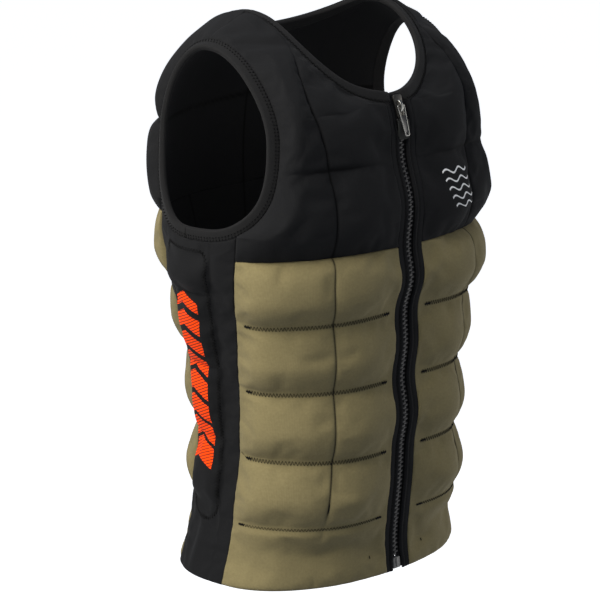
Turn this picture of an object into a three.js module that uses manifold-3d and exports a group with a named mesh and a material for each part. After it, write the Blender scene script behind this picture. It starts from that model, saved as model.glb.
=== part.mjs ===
// Wakeboard impact vest: padded neoprene panels sewn round a hollow torso and closed by a front zip.
// Millimetres, +Z up. The wearer faces -Y, so the wearer's left is +X and the right is -X.
// Places on the vest are an angle round the torso in degrees (0 left, 90 back, 180 right, 270 front)
// and a rise from the hem: a height up to the chest, then the length of the roll over the shoulder.

import * as THREE from "three";
import { mergeVertices } from "three/addons/utils/BufferGeometryUtils.js";
import Module from "manifold-3d";

const { lerp, clamp, smoothstep, degToRad, radToDeg } = THREE.MathUtils;

// Torso that the inner face lies on: half width, and depth of front and back from the axis, at each height.
const TORSO = [
  { height: -2, width: 156, front: 101, back: 114 },
  { height: 32, width: 146, front: 98, back: 107 },
  { height: 66, width: 139, front: 101, back: 102 },
  { height: 146, width: 132, front: 107, back: 97 },
  { height: 240, width: 145, front: 107, back: 106 },
  { height: 333, width: 175, front: 114, back: 109 },
  { height: 405, width: 183, front: 110, back: 112 },
  { height: 460, width: 183, front: 99, back: 108 },
  { height: 580, width: 183, front: 70, back: 88 },
];
const ROUNDNESS = 2.4;

// Shoulders: above SHOULDER_START front and back roll towards each other and meet on a sloping ridge.
const SHOULDER_START = 460;
const SHOULDER_ROLL = 160;
const RIDGE_RISE = SHOULDER_START + SHOULDER_ROLL;
const RIDGE = { y: 12, neckX: 88, neckHeight: 575, tipX: 164, tipHeight: 541 };
const SEAT_HEIGHT = 558;

// Heights of the sewn lines.
const HEM = -2;
const FRONT_ROWS = [63, 133, 206, 279, 345];
const BACK_ROWS = [72, 148, 228, 304, 380];
const FRONT_YOKE = FRONT_ROWS.at(-1);
const BACK_YOKE = BACK_ROWS.at(-1);
const CHEST_SEAM = 430;
const BACK_SEAM = 470;

// Angles of the upright seams on the wearer's right. The left side mirrors them.
const UPRIGHT_SEAMS = [
  { height: HEM, sideFront: 185, sideBack: 139, frontColumn: 228 },
  { height: 200, sideFront: 190, sideBack: 138, frontColumn: 234 },
  { height: 345, sideFront: 202, sideBack: 144, frontColumn: 238 },
  { height: 400, sideFront: 206, sideBack: 153, frontColumn: 240 },
];

// Neck opening: half width on the ridge, and how far its front and back lie below the ridge.
const NECK = { halfWidth: 88, frontDrop: 80, backDrop: 26 };

// Right armhole, from the shoulder's tip down the front, under the arm and up the back.
const ARMHOLE = [
  { angle: 216, rise: RIDGE_RISE },
  { angle: 218, rise: 540 },
  { angle: 219, rise: 465 },
  { angle: 214, rise: 408 },
  { angle: 201, rise: 380 },
  { angle: 182, rise: 374 },
  { angle: 165, rise: 379 },
  { angle: 155, rise: 408 },
  { angle: 149, rise: 465 },
  { angle: 147, rise: 540 },
  { angle: 144, rise: RIDGE_RISE },
];
const ARMHOLE_SCALE = 3.2;

// Thicknesses, all measured out from the torso's skin: plain cloth, and the foam that pads add to it.
const HEM_LIFT = 5;
const SEAM_LIFT = 6;
const FOAM = { front: 18, back: 14, chest: 14, pocket: 9 };
const GAP = 0.6;

// How far from a sewn line the foam reaches its full thickness.
const ROW_REACH = 34;
const COLUMN_REACH = 20;
const POCKET_REACH = 24;

// Edge bindings, rounded off towards the opening.
const ARM_BINDING = { width: 12, lift: 7 };
const NECK_BINDING = { width: 9, lift: 7 };
const BINDING_ROUND = 1.8;
const BINDING_COLUMNS = [0, 0.3, 1];

// Pocket of the side panel: its rows of foam, its width and its margin to the side seams.
const POCKET = { rows: [89, 156, 229, 305, 348], width: 60, margin: 24 };

// Front zip. Edges are measured across from the centre line, and its seat and sway out from the skin.
const ZIP = {
  edge: 17.5, facingEdge: 5.2, toothTip: -1.4, toothRoot: 2, clear: 7.1,
  pitch: 6.4, tape: 1.2, teeth: 3.2, facing: 3.4, seat: 4.2, sway: 6, bottom: 10,
};
const SLIDER = { width: 13, foot: 9.4, length: 24, plate: 1.8, corner: 3, play: 0.8, below: 10 };
const POST = { width: 5, length: 7, up: 7 };
const BRIDGE = { width: 3, length: 13, height: 4, opening: 8.4, lift: 2.9, root: 0.4 };
const PULL = { top: 9.5, bottom: 5, length: 32, plate: 1.4, corner: 1.6, bar: 1.7 };
const PULL_WINDOW = { width: 5.4, length: 9.5 };
const PULL_HOLE = { radius: 1.3, up: 4 };
const PULL_GROOVE = { bottom: 2.3, top: 4.8, length: 10, depth: 0.4, corner: 0.8, down: 19 };
const GARAGE = { width: 17, length: 12, plate: 1.4, below: 0.6 };
const ZIP_BOX = { width: 11, length: 12, depth: 5, corner: 1.5 };
const CUT = 9;

const OLIVE = cloth(0x746b4c);
const BLACK = cloth(0x1b1b1c);
const TAPE_BLACK = cloth(0x111112);
const PLASTIC = new THREE.MeshStandardMaterial({ color: 0x161616, roughness: 0.45, metalness: 0 });
const GUNMETAL = new THREE.MeshStandardMaterial({ color: 0x2c2b29, roughness: 0.4, metalness: 0.8 });
const NICKEL = new THREE.MeshStandardMaterial({ color: 0x8a8a86, roughness: 0.3, metalness: 1 });

function cloth(color) {
  return new THREE.MeshStandardMaterial({ color, roughness: 0.9, metalness: 0 });
}

// Value of a table's column at a height: a cubic through its rows, flat outside them.
function column(table, key, height) {
  const last = table.length - 1;
  const at = clamp(height, table[0].height, table[last].height);
  const i = clamp(table.findIndex((row) => row.height >= at) - 1, 0, last - 1);
  const slope = (k) => {
    const [before, after] = [table[Math.max(k - 1, 0)], table[Math.min(k + 1, last)]];
    return (after[key] - before[key]) / (after.height - before.height);
  };
  const [low, high] = [table[i], table[i + 1]];
  const span = high.height - low.height;
  const t = (at - low.height) / span;
  const rest = 1 - t;
  return (
    (1 + 2 * t) * rest * rest * low[key] +
    t * rest * rest * span * slope(i) +
    t * t * (3 - 2 * t) * high[key] -
    t * t * rest * span * slope(i + 1)
  );
}

function ridgeHeight(x) {
  const slope = (RIDGE.tipHeight - RIDGE.neckHeight) / (RIDGE.tipX - RIDGE.neckX);
  return RIDGE.neckHeight + slope * (Math.abs(x) - RIDGE.neckX);
}

// Point of the torso's skin. A rise past RIDGE_RISE carries on down the other side of the shoulder.
function bareSkin(angle, rise) {
  const [c, s] = [Math.cos(degToRad(angle)), Math.sin(degToRad(angle))];
  const reach = (Math.abs(c) ** ROUNDNESS + Math.abs(s) ** ROUNDNESS) ** (-1 / ROUNDNESS);
  const x = column(TORSO, "width", Math.min(rise, SHOULDER_START)) * c * reach;
  const roll = (Math.max(rise - SHOULDER_START, 0) / SHOULDER_ROLL) * (Math.PI / 2);
  const height = roll > 0 ? SHOULDER_START + (ridgeHeight(x) - SHOULDER_START) * Math.sin(roll) : rise;
  const facesFront = s < 0 !== roll > Math.PI / 2;
  const depth = facesFront ? -column(TORSO, "front", height) : column(TORSO, "back", height);
  const flat = Math.abs(Math.cos(roll));
  const y = RIDGE.y * (1 - flat) + depth * Math.abs(s) * reach * flat;
  return new THREE.Vector3(x, y, height);
}

// The skin's two directions at a place, per degree of angle and per millimetre of rise.
function directions(angle, rise) {
  const step = 0.2;
  const around = bareSkin(angle + step, rise).sub(bareSkin(angle - step, rise));
  const upward = bareSkin(angle, rise + step).sub(bareSkin(angle, rise - step));
  return { around: around.divideScalar(2 * step), upward: upward.divideScalar(2 * step) };
}

// Point at a lift outside the skin.
function skin(angle, rise, lift) {
  const { around, upward } = directions(angle, rise);
  return bareSkin(angle, rise).addScaledVector(around.cross(upward).normalize(), lift);
}

// Angle on the front of the place at a distance from the centre line, to the wearer's right.
function frontAngle(x, rise) {
  const across = x / column(TORSO, "width", Math.min(rise, SHOULDER_START));
  const deep = (1 - Math.abs(across) ** ROUNDNESS) ** (1 / ROUNDNESS);
  return 270 - radToDeg(Math.atan2(across, deep));
}

// Place a distance to the left of a way along the skin, measured on the skin.
function stepAside(from, way, distance) {
  const { around, upward } = directions(from.angle, from.rise);
  const ahead = around.clone().multiplyScalar(way.angle).addScaledVector(upward, way.rise);
  const aside = around.clone().cross(upward).cross(ahead).normalize();
  const [aa, au, uu] = [around.dot(around), around.dot(upward), upward.dot(upward)];
  const [pa, pu] = [around.dot(aside) * distance, upward.dot(aside) * distance];
  const det = aa * uu - au * au;
  return { angle: from.angle + (pa * uu - pu * au) / det, rise: from.rise + (pu * aa - pa * au) / det };
}

// The armhole's edge, or a line at a margin outside it, as places from the front tip to the back tip.
const ARM_STEPS = 96;
const armCurve = new THREE.CatmullRomCurve3(
  ARMHOLE.map((row) => new THREE.Vector3(row.angle * ARMHOLE_SCALE, row.rise, 0)), false, "catmullrom", 0.5,
);
function armholePlace(t) {
  const p = armCurve.getPoint(t);
  return { angle: p.x / ARMHOLE_SCALE, rise: p.y };
}
function armholeLine(margin) {
  return Array.from({ length: ARM_STEPS + 1 }, (_, i) => {
    const t = i / ARM_STEPS;
    const [from, ahead] = [armholePlace(t), armholePlace(clamp(t + 0.01, 0, 1))];
    const behind = armholePlace(clamp(t - 0.01, 0, 1));
    const way = { angle: ahead.angle - behind.angle, rise: ahead.rise - behind.rise };
    const moved = stepAside(from, way, margin);
    const isTip = i === 0 || i === ARM_STEPS;
    return isTip ? { angle: moved.angle, rise: RIDGE_RISE } : moved;
  });
}

// Position along a run of places where a measure of them passes zero.
function passing(places, measure) {
  const i = places.findIndex((place, k) => k > 0 && measure(place) * measure(places[k - 1]) <= 0);
  const [before, after] = [measure(places[i - 1]), measure(places[i])];
  return i - 1 + before / (before - after);
}
function placeOn(places, position) {
  const i = clamp(Math.floor(position), 0, places.length - 2);
  const mixed = (key) => lerp(places[i][key], places[i + 1][key], position - i);
  return { angle: mixed("angle"), rise: mixed("rise") };
}

// The line where panels end at the armhole's binding, and the positions on it where the side seams arrive.
const armLine = armholeLine(ARM_BINDING.width + GAP);
const armBottom = armLine.reduce((best, place, i) => (place.rise < armLine[best].rise ? i : best), 0);
const armFront = armLine.slice(0, armBottom + 1);
const armBack = armLine.slice(armBottom);
const seamAngle = (key, rise) => column(UPRIGHT_SEAMS, key, rise);
const frontMeeting = passing(armFront, ({ angle, rise }) => angle - seamAngle("sideFront", rise));
const backMeeting = armBottom + passing(armBack, ({ angle, rise }) => angle - seamAngle("sideBack", rise));
const frontPosition = (target) => passing(armFront, ({ rise }) => rise - target);
const backPosition = (target) => armBottom + passing(armBack, ({ rise }) => rise - target);

// Place on the neck opening, or a margin outside it: turn 0 is the front, 90 the ridge, 180 the back.
function necklinePlace(turn, margin) {
  const halfWidth = NECK.halfWidth + margin;
  const [x, forward] = [halfWidth * Math.sin(degToRad(turn)), Math.cos(degToRad(turn))];
  const drop = (forward > 0 ? NECK.frontDrop : NECK.backDrop) + margin;
  const height = ridgeHeight(halfWidth) - drop * Math.abs(forward);
  const roll = Math.asin(clamp((height - SHOULDER_START) / (ridgeHeight(x) - SHOULDER_START), 0, 1));
  const half = SHOULDER_ROLL * (roll / (Math.PI / 2));
  const rise = forward > 0 ? SHOULDER_START + half : RIDGE_RISE + SHOULDER_ROLL - half;
  return { angle: frontAngle(x, rise), rise };
}

// Positions along a run of cells whose ends lie on the given stops, closer together near each stop.
function cells(stops, counts) {
  const places = [stops[0]];
  counts.forEach((count, i) => {
    for (let k = 1; k <= count; k++) {
      const even = k / count;
      const eased = lerp(even, (1 - Math.cos(Math.PI * even)) / 2, 0.7);
      places.push(lerp(stops[i], stops[i + 1], eased));
    }
  });
  return places;
}

// A padded piece: a flat box of cells, bent so that its two faces lie at their own lifts from the skin.
function padded({ columns, rows, at, under, over }) {
  const box = new THREE.BoxGeometry(1, 1, 1, columns.length - 1, rows.length - 1, 1);
  box.deleteAttribute("normal");
  box.deleteAttribute("uv");
  const body = mergeVertices(box);
  const spots = body.getAttribute("position");
  for (let i = 0; i < spots.count; i++) {
    const across = columns[Math.round((spots.getX(i) + 0.5) * (columns.length - 1))];
    const up = rows[Math.round((spots.getY(i) + 0.5) * (rows.length - 1))];
    const place = at(across, up);
    const lift = (spots.getZ(i) > 0 ? over : under)(across, up, place);
    spots.setXYZ(i, ...skin(place.angle, place.rise, lift));
  }
  body.computeVertexNormals();
  return body;
}

// Share of full padding at a distance from a sewn line: a quarter round of the given reach.
function swell(distance, reach) {
  return Math.sqrt(1 - (1 - clamp(distance / reach, 0, 1)) ** 2);
}

// Share of full padding between the sewn rows of a panel, none below the first row.
function rowSwell(rise, rows, reach) {
  if (rise <= rows[0]) return 0;
  return Math.min(...rows.map((row) => swell(Math.abs(rise - row), reach)));
}

// Plain cloth thickens a little from the hem to the first sewn row.
const plainLift = (rise, firstRow) => lerp(HEM_LIFT, SEAM_LIFT, clamp(rise / firstRow, 0, 1));
const gapAngle = (rise) => radToDeg(GAP / 2 / column(TORSO, "width", Math.min(rise, SHOULDER_START)));
const none = () => 0;

// How far the zip's tape stands off the skin: it sways out with the pads beside it, in straight stretches.
function zipWave(rise) {
  const stops = [...FRONT_ROWS, CHEST_SEAM, zipTop + 30];
  const i = stops.findIndex((stop) => stop > rise);
  if (i < 1) return 0;
  return Math.sin((Math.PI * (rise - stops[i - 1])) / (stops[i] - stops[i - 1])) ** 2;
}
function zipLift(rise) {
  const i = clamp(zipRows.findIndex((row) => row >= rise), 1, zipRows.length - 1);
  const [low, high] = [zipRows[i - 1], zipRows[i]];
  const wave = lerp(zipWave(low), zipWave(high), (rise - low) / (high - low));
  return ZIP.seat + ZIP.sway * wave;
}
const zipEdgeLift = (rise) => zipLift(rise) + ZIP.tape / 2 + GAP / 2 + ZIP.facing;

// Lower front panel on the right: two columns of four pads above a plain hem.
const FRONT_COLUMN = 0.56;
const ZIP_BLEND = 0.3;
const frontColumns = cells([0, FRONT_COLUMN, 1], [5, 5]);
function splitShare(across, column) {
  if (across < FRONT_COLUMN) return (across / FRONT_COLUMN) * column;
  return lerp(column, 1, (across - FRONT_COLUMN) / (1 - FRONT_COLUMN));
}
const FRONT_WIDTH = 150;
function frontBody() {
  const at = (across, rise) => {
    const from = seamAngle("sideFront", rise) + gapAngle(rise);
    const to = frontAngle(ZIP.edge + GAP / 2, rise);
    const share = splitShare(across, (seamAngle("frontColumn", rise) - from) / (to - from));
    return { angle: lerp(from, to, share), rise };
  };
  const over = (across, rise) => {
    const side = lerp(0.2, 1, swell(across * FRONT_WIDTH, ROW_REACH));
    const column = lerp(0.72, 1, swell(Math.abs(across - FRONT_COLUMN) * FRONT_WIDTH, COLUMN_REACH));
    const pads = rowSwell(rise, FRONT_ROWS, ROW_REACH) * side * column;
    const padding = plainLift(rise, FRONT_ROWS[0]) + FOAM.front * pads;
    return lerp(zipEdgeLift(rise), padding, smoothstep(1 - across, 0, ZIP_BLEND));
  };
  const rows = cells([HEM, ...FRONT_ROWS.slice(0, -1), FRONT_YOKE - GAP / 2], [3, 5, 5, 5, 5]);
  return padded({ columns: frontColumns, rows, at, under: none, over });
}

// Chest panel on the right, from the yoke seam to the shoulder's ridge. Its way up is 0 to 1 for the lower
// pads and 1 to 2 for the upper ones, whose inner edge turns into the neckline at CHEST_PIT.
const CHEST_PIT = 1.26;
const NECK_MARGIN = NECK_BINDING.width + GAP;
const zipTurn = (margin) => radToDeg(Math.asin((ZIP.edge + GAP / 2) / (NECK.halfWidth + margin)));
const chestFoot = FRONT_YOKE + GAP / 2;
const chestLeftRise = (up) => (up < 1
  ? lerp(chestFoot, CHEST_SEAM, up)
  : lerp(CHEST_SEAM, RIDGE_RISE - GAP / 2, up - 1));
const chestCorner = (placeOn(armLine, frontMeeting).rise - chestFoot) / (CHEST_SEAM - chestFoot);
const chestRows = cells([0, chestCorner, 1, CHEST_PIT, 2], [2, 3, 3, 8]);
function frontChest() {
  const left = (up) => {
    const rise = chestLeftRise(up);
    if (up > chestCorner) return placeOn(armLine, frontPosition(rise));
    return { angle: seamAngle("sideFront", rise) + gapAngle(rise), rise };
  };
  const pit = necklinePlace(zipTurn(NECK_MARGIN), NECK_MARGIN).rise;
  const right = (up) => {
    if (up > CHEST_PIT) {
      const turn = lerp(zipTurn(NECK_MARGIN), 90, (up - CHEST_PIT) / (2 - CHEST_PIT));
      const place = necklinePlace(turn, NECK_MARGIN);
      return { angle: place.angle, rise: Math.min(place.rise, RIDGE_RISE - GAP / 2) };
    }
    const rise = up < 1 ? chestLeftRise(up) : lerp(CHEST_SEAM, pit, (up - 1) / (CHEST_PIT - 1));
    return { angle: frontAngle(ZIP.edge + GAP / 2, rise), rise };
  };
  const [start, end] = [left(0).angle, right(0).angle];
  const yokeShare = (seamAngle("frontColumn", FRONT_YOKE) - start) / (end - start);
  const columnStops = [
    { height: 0, share: yokeShare }, { height: 1, share: 0.36 },
    { height: 1.5, share: 0.62 }, { height: 2, share: 0.9 },
  ];
  const at = (across, up) => {
    const [from, to] = [left(up), right(up)];
    const share = splitShare(across, column(columnStops, "share", up));
    return { angle: lerp(from.angle, to.angle, share), rise: lerp(from.rise, to.rise, share) };
  };
  const over = (across, up, place) => {
    const seam = swell(Math.abs(up - 1), up < 1 ? 0.42 : 0.22);
    const yoke = swell(up, 0.4);
    const side = lerp(0.25, 1, swell(across, 0.25));
    const middle = lerp(0.6, 1, swell(Math.abs(across - FRONT_COLUMN), 0.16));
    const shoulder = clamp((2 - up) / 0.7, 0.25, 1);
    const padding = SEAM_LIFT + FOAM.chest * seam * yoke * side * middle * shoulder;
    const edge = up < CHEST_PIT ? zipEdgeLift(place.rise) : NECK_BINDING.lift;
    return lerp(edge, padding, smoothstep(1 - across, 0, ZIP_BLEND));
  };
  return padded({ columns: frontColumns, rows: chestRows, at, under: none, over });
}

// Side panel on the right: from the hem to the armhole, with a padded pocket.
const sideColumns = cells([0, 0.22, 0.78, 1], [1, 4, 1]);
const sidePosition = (across) => lerp(backMeeting, frontMeeting, across);
function sidePanel() {
  const straight = (across, rise) => lerp(
    seamAngle("sideBack", rise) + gapAngle(rise), seamAngle("sideFront", rise) - gapAngle(rise), across,
  );
  const at = (across, up) => {
    const top = placeOn(armLine, sidePosition(across));
    const inset = gapAngle(top.rise) * (1 - 2 * across);
    const rise = lerp(HEM, top.rise, up);
    const turned = top.angle + inset - straight(across, top.rise);
    return { angle: straight(across, rise) + turned * up ** 4, rise };
  };
  const over = (across, up, { rise }) => {
    const inside = Math.min(across, 1 - across) * (POCKET.width + 2 * POCKET.margin) - POCKET.margin;
    const isPocket = rise < POCKET.rows.at(-1);
    const pocket = isPocket ? swell(inside, COLUMN_REACH) * rowSwell(rise, POCKET.rows, POCKET_REACH) : 0;
    return plainLift(rise, POCKET.rows[0]) + FOAM.pocket * pocket;
  };
  const top = placeOn(armLine, sidePosition(0.5)).rise;
  const rises = cells([HEM, ...POCKET.rows, top], [3, 4, 4, 4, 4, 2]);
  const rows = rises.map((rise) => (rise - HEM) / (top - HEM));
  return padded({ columns: sideColumns, rows, at, under: none, over });
}

// Lower back panel: four columns of pads above a plain hem.
const BACK_WIDTH = 270;
const BACK_STOPS = [0, 0.26, 0.5, 0.74, 1];
function backBody() {
  const at = (across, rise) => {
    const from = 180 - seamAngle("sideBack", rise) + gapAngle(rise);
    return { angle: lerp(from, 180 - from, across), rise };
  };
  const over = (across, rise) => {
    const side = lerp(0.5, 1, swell(Math.min(across, 1 - across) * BACK_WIDTH, ROW_REACH));
    const nearest = Math.min(...BACK_STOPS.slice(1, -1).map((stop) => Math.abs(across - stop)));
    const column = lerp(0.72, 1, swell(nearest * BACK_WIDTH, COLUMN_REACH));
    const pads = rowSwell(rise, BACK_ROWS, ROW_REACH) * side * column;
    return plainLift(rise, BACK_ROWS[0]) + FOAM.back * pads;
  };
  const rows = cells([HEM, ...BACK_ROWS.slice(0, -1), BACK_YOKE - GAP / 2], [3, 5, 5, 5, 5]);
  return padded({ columns: cells(BACK_STOPS, [3, 3, 3, 3]), rows, at, under: none, over });
}

// Upper back panel with both shoulder ends, from the wearer's left to the right round the back of the neck.
const backTip = armLine.at(-1).angle;
const neckShare = (backTip - (360 - necklinePlace(90, NECK_MARGIN).angle)) / (2 * backTip - 180);
const backColumns = cells([0, neckShare, 0.5, 1 - neckShare, 1], [5, 4, 4, 5]);
const backTurn = (across) => lerp(90, 270, (across - neckShare) / (1 - 2 * neckShare));
const backTop = RIDGE_RISE - GAP / 2;
const backCorner = (placeOn(armLine, backMeeting).rise - BACK_YOKE) / (backTop - BACK_YOKE);
const backRows = cells([0, backCorner, 0.45, 1], [2, 4, 6]);
function backYoke() {
  const armAngle = (rise) => {
    const up = (rise - BACK_YOKE) / (backTop - BACK_YOKE);
    if (up > backCorner) return placeOn(armLine, backPosition(Math.min(rise, backTop))).angle;
    return seamAngle("sideBack", rise) - gapAngle(rise);
  };
  const topPlace = (across) => {
    if (across <= neckShare || across >= 1 - neckShare) {
      return { angle: lerp(180 - backTip, backTip, across), rise: backTop };
    }
    const turn = backTurn(across);
    const place = necklinePlace(turn > 180 ? 360 - turn : turn, NECK_MARGIN);
    return { angle: turn > 180 ? 360 - place.angle : place.angle - 180, rise: 2 * RIDGE_RISE - place.rise };
  };
  const at = (across, up) => {
    const top = topPlace(across);
    const rise = lerp(BACK_YOKE + GAP / 2, top.rise, up);
    const straight = (r) => lerp(180 - armAngle(r), armAngle(r), across);
    return { angle: straight(rise) + (top.angle - straight(top.rise)) * up * up, rise };
  };
  const over = (across, up, { rise }) => {
    const seam = swell(Math.abs(rise - BACK_SEAM), POCKET_REACH);
    const edge = swell(Math.min(across, 1 - across), 0.12);
    const middle = lerp(0.7, 1, swell(Math.abs(across - 0.5), 0.08));
    const shoulder = clamp((1 - up) / 0.5, 0.2, 1);
    return SEAM_LIFT + FOAM.chest * swell(up, 0.25) * seam * edge * middle * shoulder;
  };
  return padded({ columns: backColumns, rows: backRows, at, under: none, over });
}

// A binding is thinner along its free edge.
const bindingUnder = (across) => (across > 0 ? 0 : BINDING_ROUND);
const bindingOver = (lift) => (across) => lift - bindingUnder(across);

// Binding round the right armhole, with its join under the arm. Its steps follow the panels it is sewn to.
const JOIN_GAP = 0.1;
function armholeBinding() {
  const [edge, inner] = [armholeLine(0), armholeLine(ARM_BINDING.width)];
  const under = sideColumns.map(sidePosition);
  const up = chestRows.filter((row) => row > chestCorner && row < 2)
    .map((row) => frontPosition(chestLeftRise(row)));
  const down = backRows.filter((row) => row > backCorner && row < 1)
    .map((row) => backPosition(lerp(BACK_YOKE + GAP / 2, backTop, row)));
  const join = (under.at(0) + under.at(-1)) / 2;
  const rows = [
    join - JOIN_GAP, ...under.filter((position) => position < join - 1), ...up, 0,
    ...down.toReversed(), ...under.filter((position) => position > join + 1), join + JOIN_GAP,
  ];
  const at = (across, position) => {
    const [from, to] = [placeOn(edge, position), placeOn(inner, position)];
    return { angle: lerp(from.angle, to.angle, across), rise: lerp(from.rise, to.rise, across) };
  };
  const over = bindingOver(ARM_BINDING.lift);
  return padded({ columns: BINDING_COLUMNS, rows, at, under: bindingUnder, over });
}

// Binding round the neck, from the zip's left side over the back to its right side.
function neckBinding() {
  const shares = chestRows.filter((up) => up >= CHEST_PIT).map((up) => (up - CHEST_PIT) / (2 - CHEST_PIT));
  const backTurns = backColumns.map(backTurn).filter((turn) => turn > 91 && turn < 269);
  const rows = [
    ...shares.map((share) => ({ share, isLeft: true })),
    ...backTurns.toReversed().map((turn) => ({ turn })),
    ...shares.toReversed().map((share) => ({ share })),
  ];
  const at = (across, { share, turn, isLeft }) => {
    const margin = NECK_BINDING.width * across;
    const angle = turn ?? lerp(zipTurn(margin), 90, share);
    const place = necklinePlace(angle > 180 ? 360 - angle : angle, margin);
    return isLeft || angle > 180 ? { angle: 540 - place.angle, rise: place.rise } : place;
  };
  const over = bindingOver(NECK_BINDING.lift);
  return padded({ columns: BINDING_COLUMNS, rows, at, under: bindingUnder, over });
}

// Heights along the zip where its wavy line is followed.
const zipTop = necklinePlace(0, 0).rise;
const sliderRise = zipTop - SLIDER.below;
const zipRows = cells([HEM, ...FRONT_ROWS, CHEST_SEAM, zipTop], [3, 5, 5, 5, 5, 5, 6]);

// Distance from the centre line that leaves room for the slider above and the box below.
const CLEAR_REACH = 5;
function facingEdge(rise) {
  const below = sliderRise - SLIDER.length / 2 - CLEAR_REACH - rise;
  const above = rise - ZIP.bottom - CLEAR_REACH;
  return lerp(ZIP.facingEdge, ZIP.clear, clamp(-Math.min(below, above) / CLEAR_REACH, 0, 1));
}

// Facing strip on the zip's right, over the tape, thinner along its free edge.
const FACING_ROUND = 0.6;
function zipFacing() {
  const at = (across, rise) => {
    const x = lerp(ZIP.edge - GAP / 2, facingEdge(rise), across);
    return { angle: frontAngle(x, rise), rise };
  };
  const under = (across, rise) => zipLift(rise) + lerp(ZIP.tape, ZIP.teeth, across) / 2 + GAP / 2;
  const over = (across, rise) => zipEdgeLift(rise) - (across < 1 ? 0 : FACING_ROUND);
  return padded({ columns: [0, 0.8, 1], rows: zipRows, at, under, over });
}

// Tape with its row of teeth as one wavy edge. The left side's teeth are half a pitch higher.
function zipTape(shift) {
  const count = Math.floor((sliderRise - SLIDER.length / 2 - ZIP.bottom) / ZIP.pitch) - 1;
  const tips = Array.from({ length: count }, (_, i) => ZIP.bottom + (i + 1) * ZIP.pitch + shift);
  const teeth = tips.flatMap((rise) => [
    { rise, inner: ZIP.toothTip }, { rise: rise + ZIP.pitch / 2, inner: ZIP.toothRoot },
  ]);
  const [first, last] = [tips[0] - ZIP.pitch / 2, teeth.at(-1).rise];
  const bare = (rise) => ({ rise, inner: ZIP.clear });
  const free = zipRows.filter((rise) => rise > last + 2 && rise < zipTop - 2);
  const rows = [
    ...cells([HEM + 1, first - 1], [3]).map(bare), { rise: first, inner: ZIP.toothRoot }, ...teeth,
    ...[last + 1, ...free, zipTop - 1].map(bare),
  ];
  const at = (across, { rise, inner }) => {
    const x = lerp(ZIP.edge - GAP / 2, inner, across);
    return { angle: frontAngle(x, rise), rise };
  };
  const half = (across) => lerp(ZIP.tape, ZIP.teeth, across) / 2;
  const under = (across, { rise }) => zipLift(rise) - half(across);
  const over = (across, { rise }) => zipLift(rise) + half(across);
  return padded({ columns: [0, 1], rows, at, under, over });
}

// Solids for the hard pieces, which are joined and cut.
const wasm = await Module();
wasm.setup();
function solid(geometry) {
  const bare = geometry.clone();
  bare.deleteAttribute("normal");
  bare.deleteAttribute("uv");
  const merged = mergeVertices(bare);
  const vertProperties = new Float32Array(merged.getAttribute("position").array);
  const triVerts = new Uint32Array(merged.index.array);
  return new wasm.Manifold(new wasm.Mesh({ numProp: 3, vertProperties, triVerts }));
}
function geometryOf(body) {
  const { vertProperties, triVerts } = body.getMesh();
  const geometry = new THREE.BufferGeometry();
  geometry.setAttribute("position", new THREE.BufferAttribute(new Float32Array(vertProperties), 3));
  geometry.setIndex(new THREE.BufferAttribute(new Uint32Array(triVerts), 1));
  geometry.computeVertexNormals();
  return geometry;
}

// Frame of a hard piece on the zip: x across, y up the zip, z out of the vest.
function zipFrame(rise, lift) {
  const group = new THREE.Group();
  const { around, upward } = directions(270, rise);
  const out = around.clone().cross(upward).normalize();
  const up = out.clone().cross(around.normalize());
  group.setRotationFromMatrix(new THREE.Matrix4().makeBasis(around, up, out));
  group.position.copy(skin(270, rise, lift));
  return group;
}

// Tapered plate with rounded corners, centred on x and y and rising from z = 0.
function roundedPlate(bottomWidth, topWidth, length, depth, corner) {
  const [b, t, h, r] = [bottomWidth / 2, topWidth / 2, length / 2, corner];
  const shape = new THREE.Shape();
  shape.moveTo(-b + r, -h);
  shape.lineTo(b - r, -h);
  shape.quadraticCurveTo(b, -h, b, -h + r);
  shape.lineTo(t, h - r);
  shape.quadraticCurveTo(t, h, t - r, h);
  shape.lineTo(-t + r, h);
  shape.quadraticCurveTo(-t, h, -t, h - r);
  shape.lineTo(-b, -h + r);
  shape.quadraticCurveTo(-b, -h, -b + r, -h);
  return new THREE.ExtrudeGeometry(shape, { depth, bevelEnabled: false, curveSegments: 4 });
}

// Slider: front and back plates round the tape, a post between them, and a bridge that holds the pull.
const sliderFace = ZIP.teeth / 2 + SLIDER.play / 2 + SLIDER.plate;
function zipSlider() {
  const plate = (z) => {
    const { foot, width, length, plate: depth, corner } = SLIDER;
    return solid(roundedPlate(foot, width, length, depth, corner).translate(0, 0, z));
  };
  const post = new THREE.BoxGeometry(POST.width, POST.length, 2 * sliderFace - SLIDER.plate);
  const arch = new THREE.BoxGeometry(BRIDGE.width, BRIDGE.length, BRIDGE.height + BRIDGE.root);
  arch.translate(0, 0, sliderFace + (BRIDGE.height - BRIDGE.root) / 2);
  const under = new THREE.BoxGeometry(2 * BRIDGE.width, BRIDGE.opening, BRIDGE.lift);
  under.translate(0, 0, sliderFace + BRIDGE.lift / 2);
  const plates = plate(-sliderFace).add(plate(sliderFace - SLIDER.plate));
  const body = plates.add(solid(post.translate(0, POST.up, 0)));
  return geometryOf(body.add(solid(arch).subtract(solid(under))));
}

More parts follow.
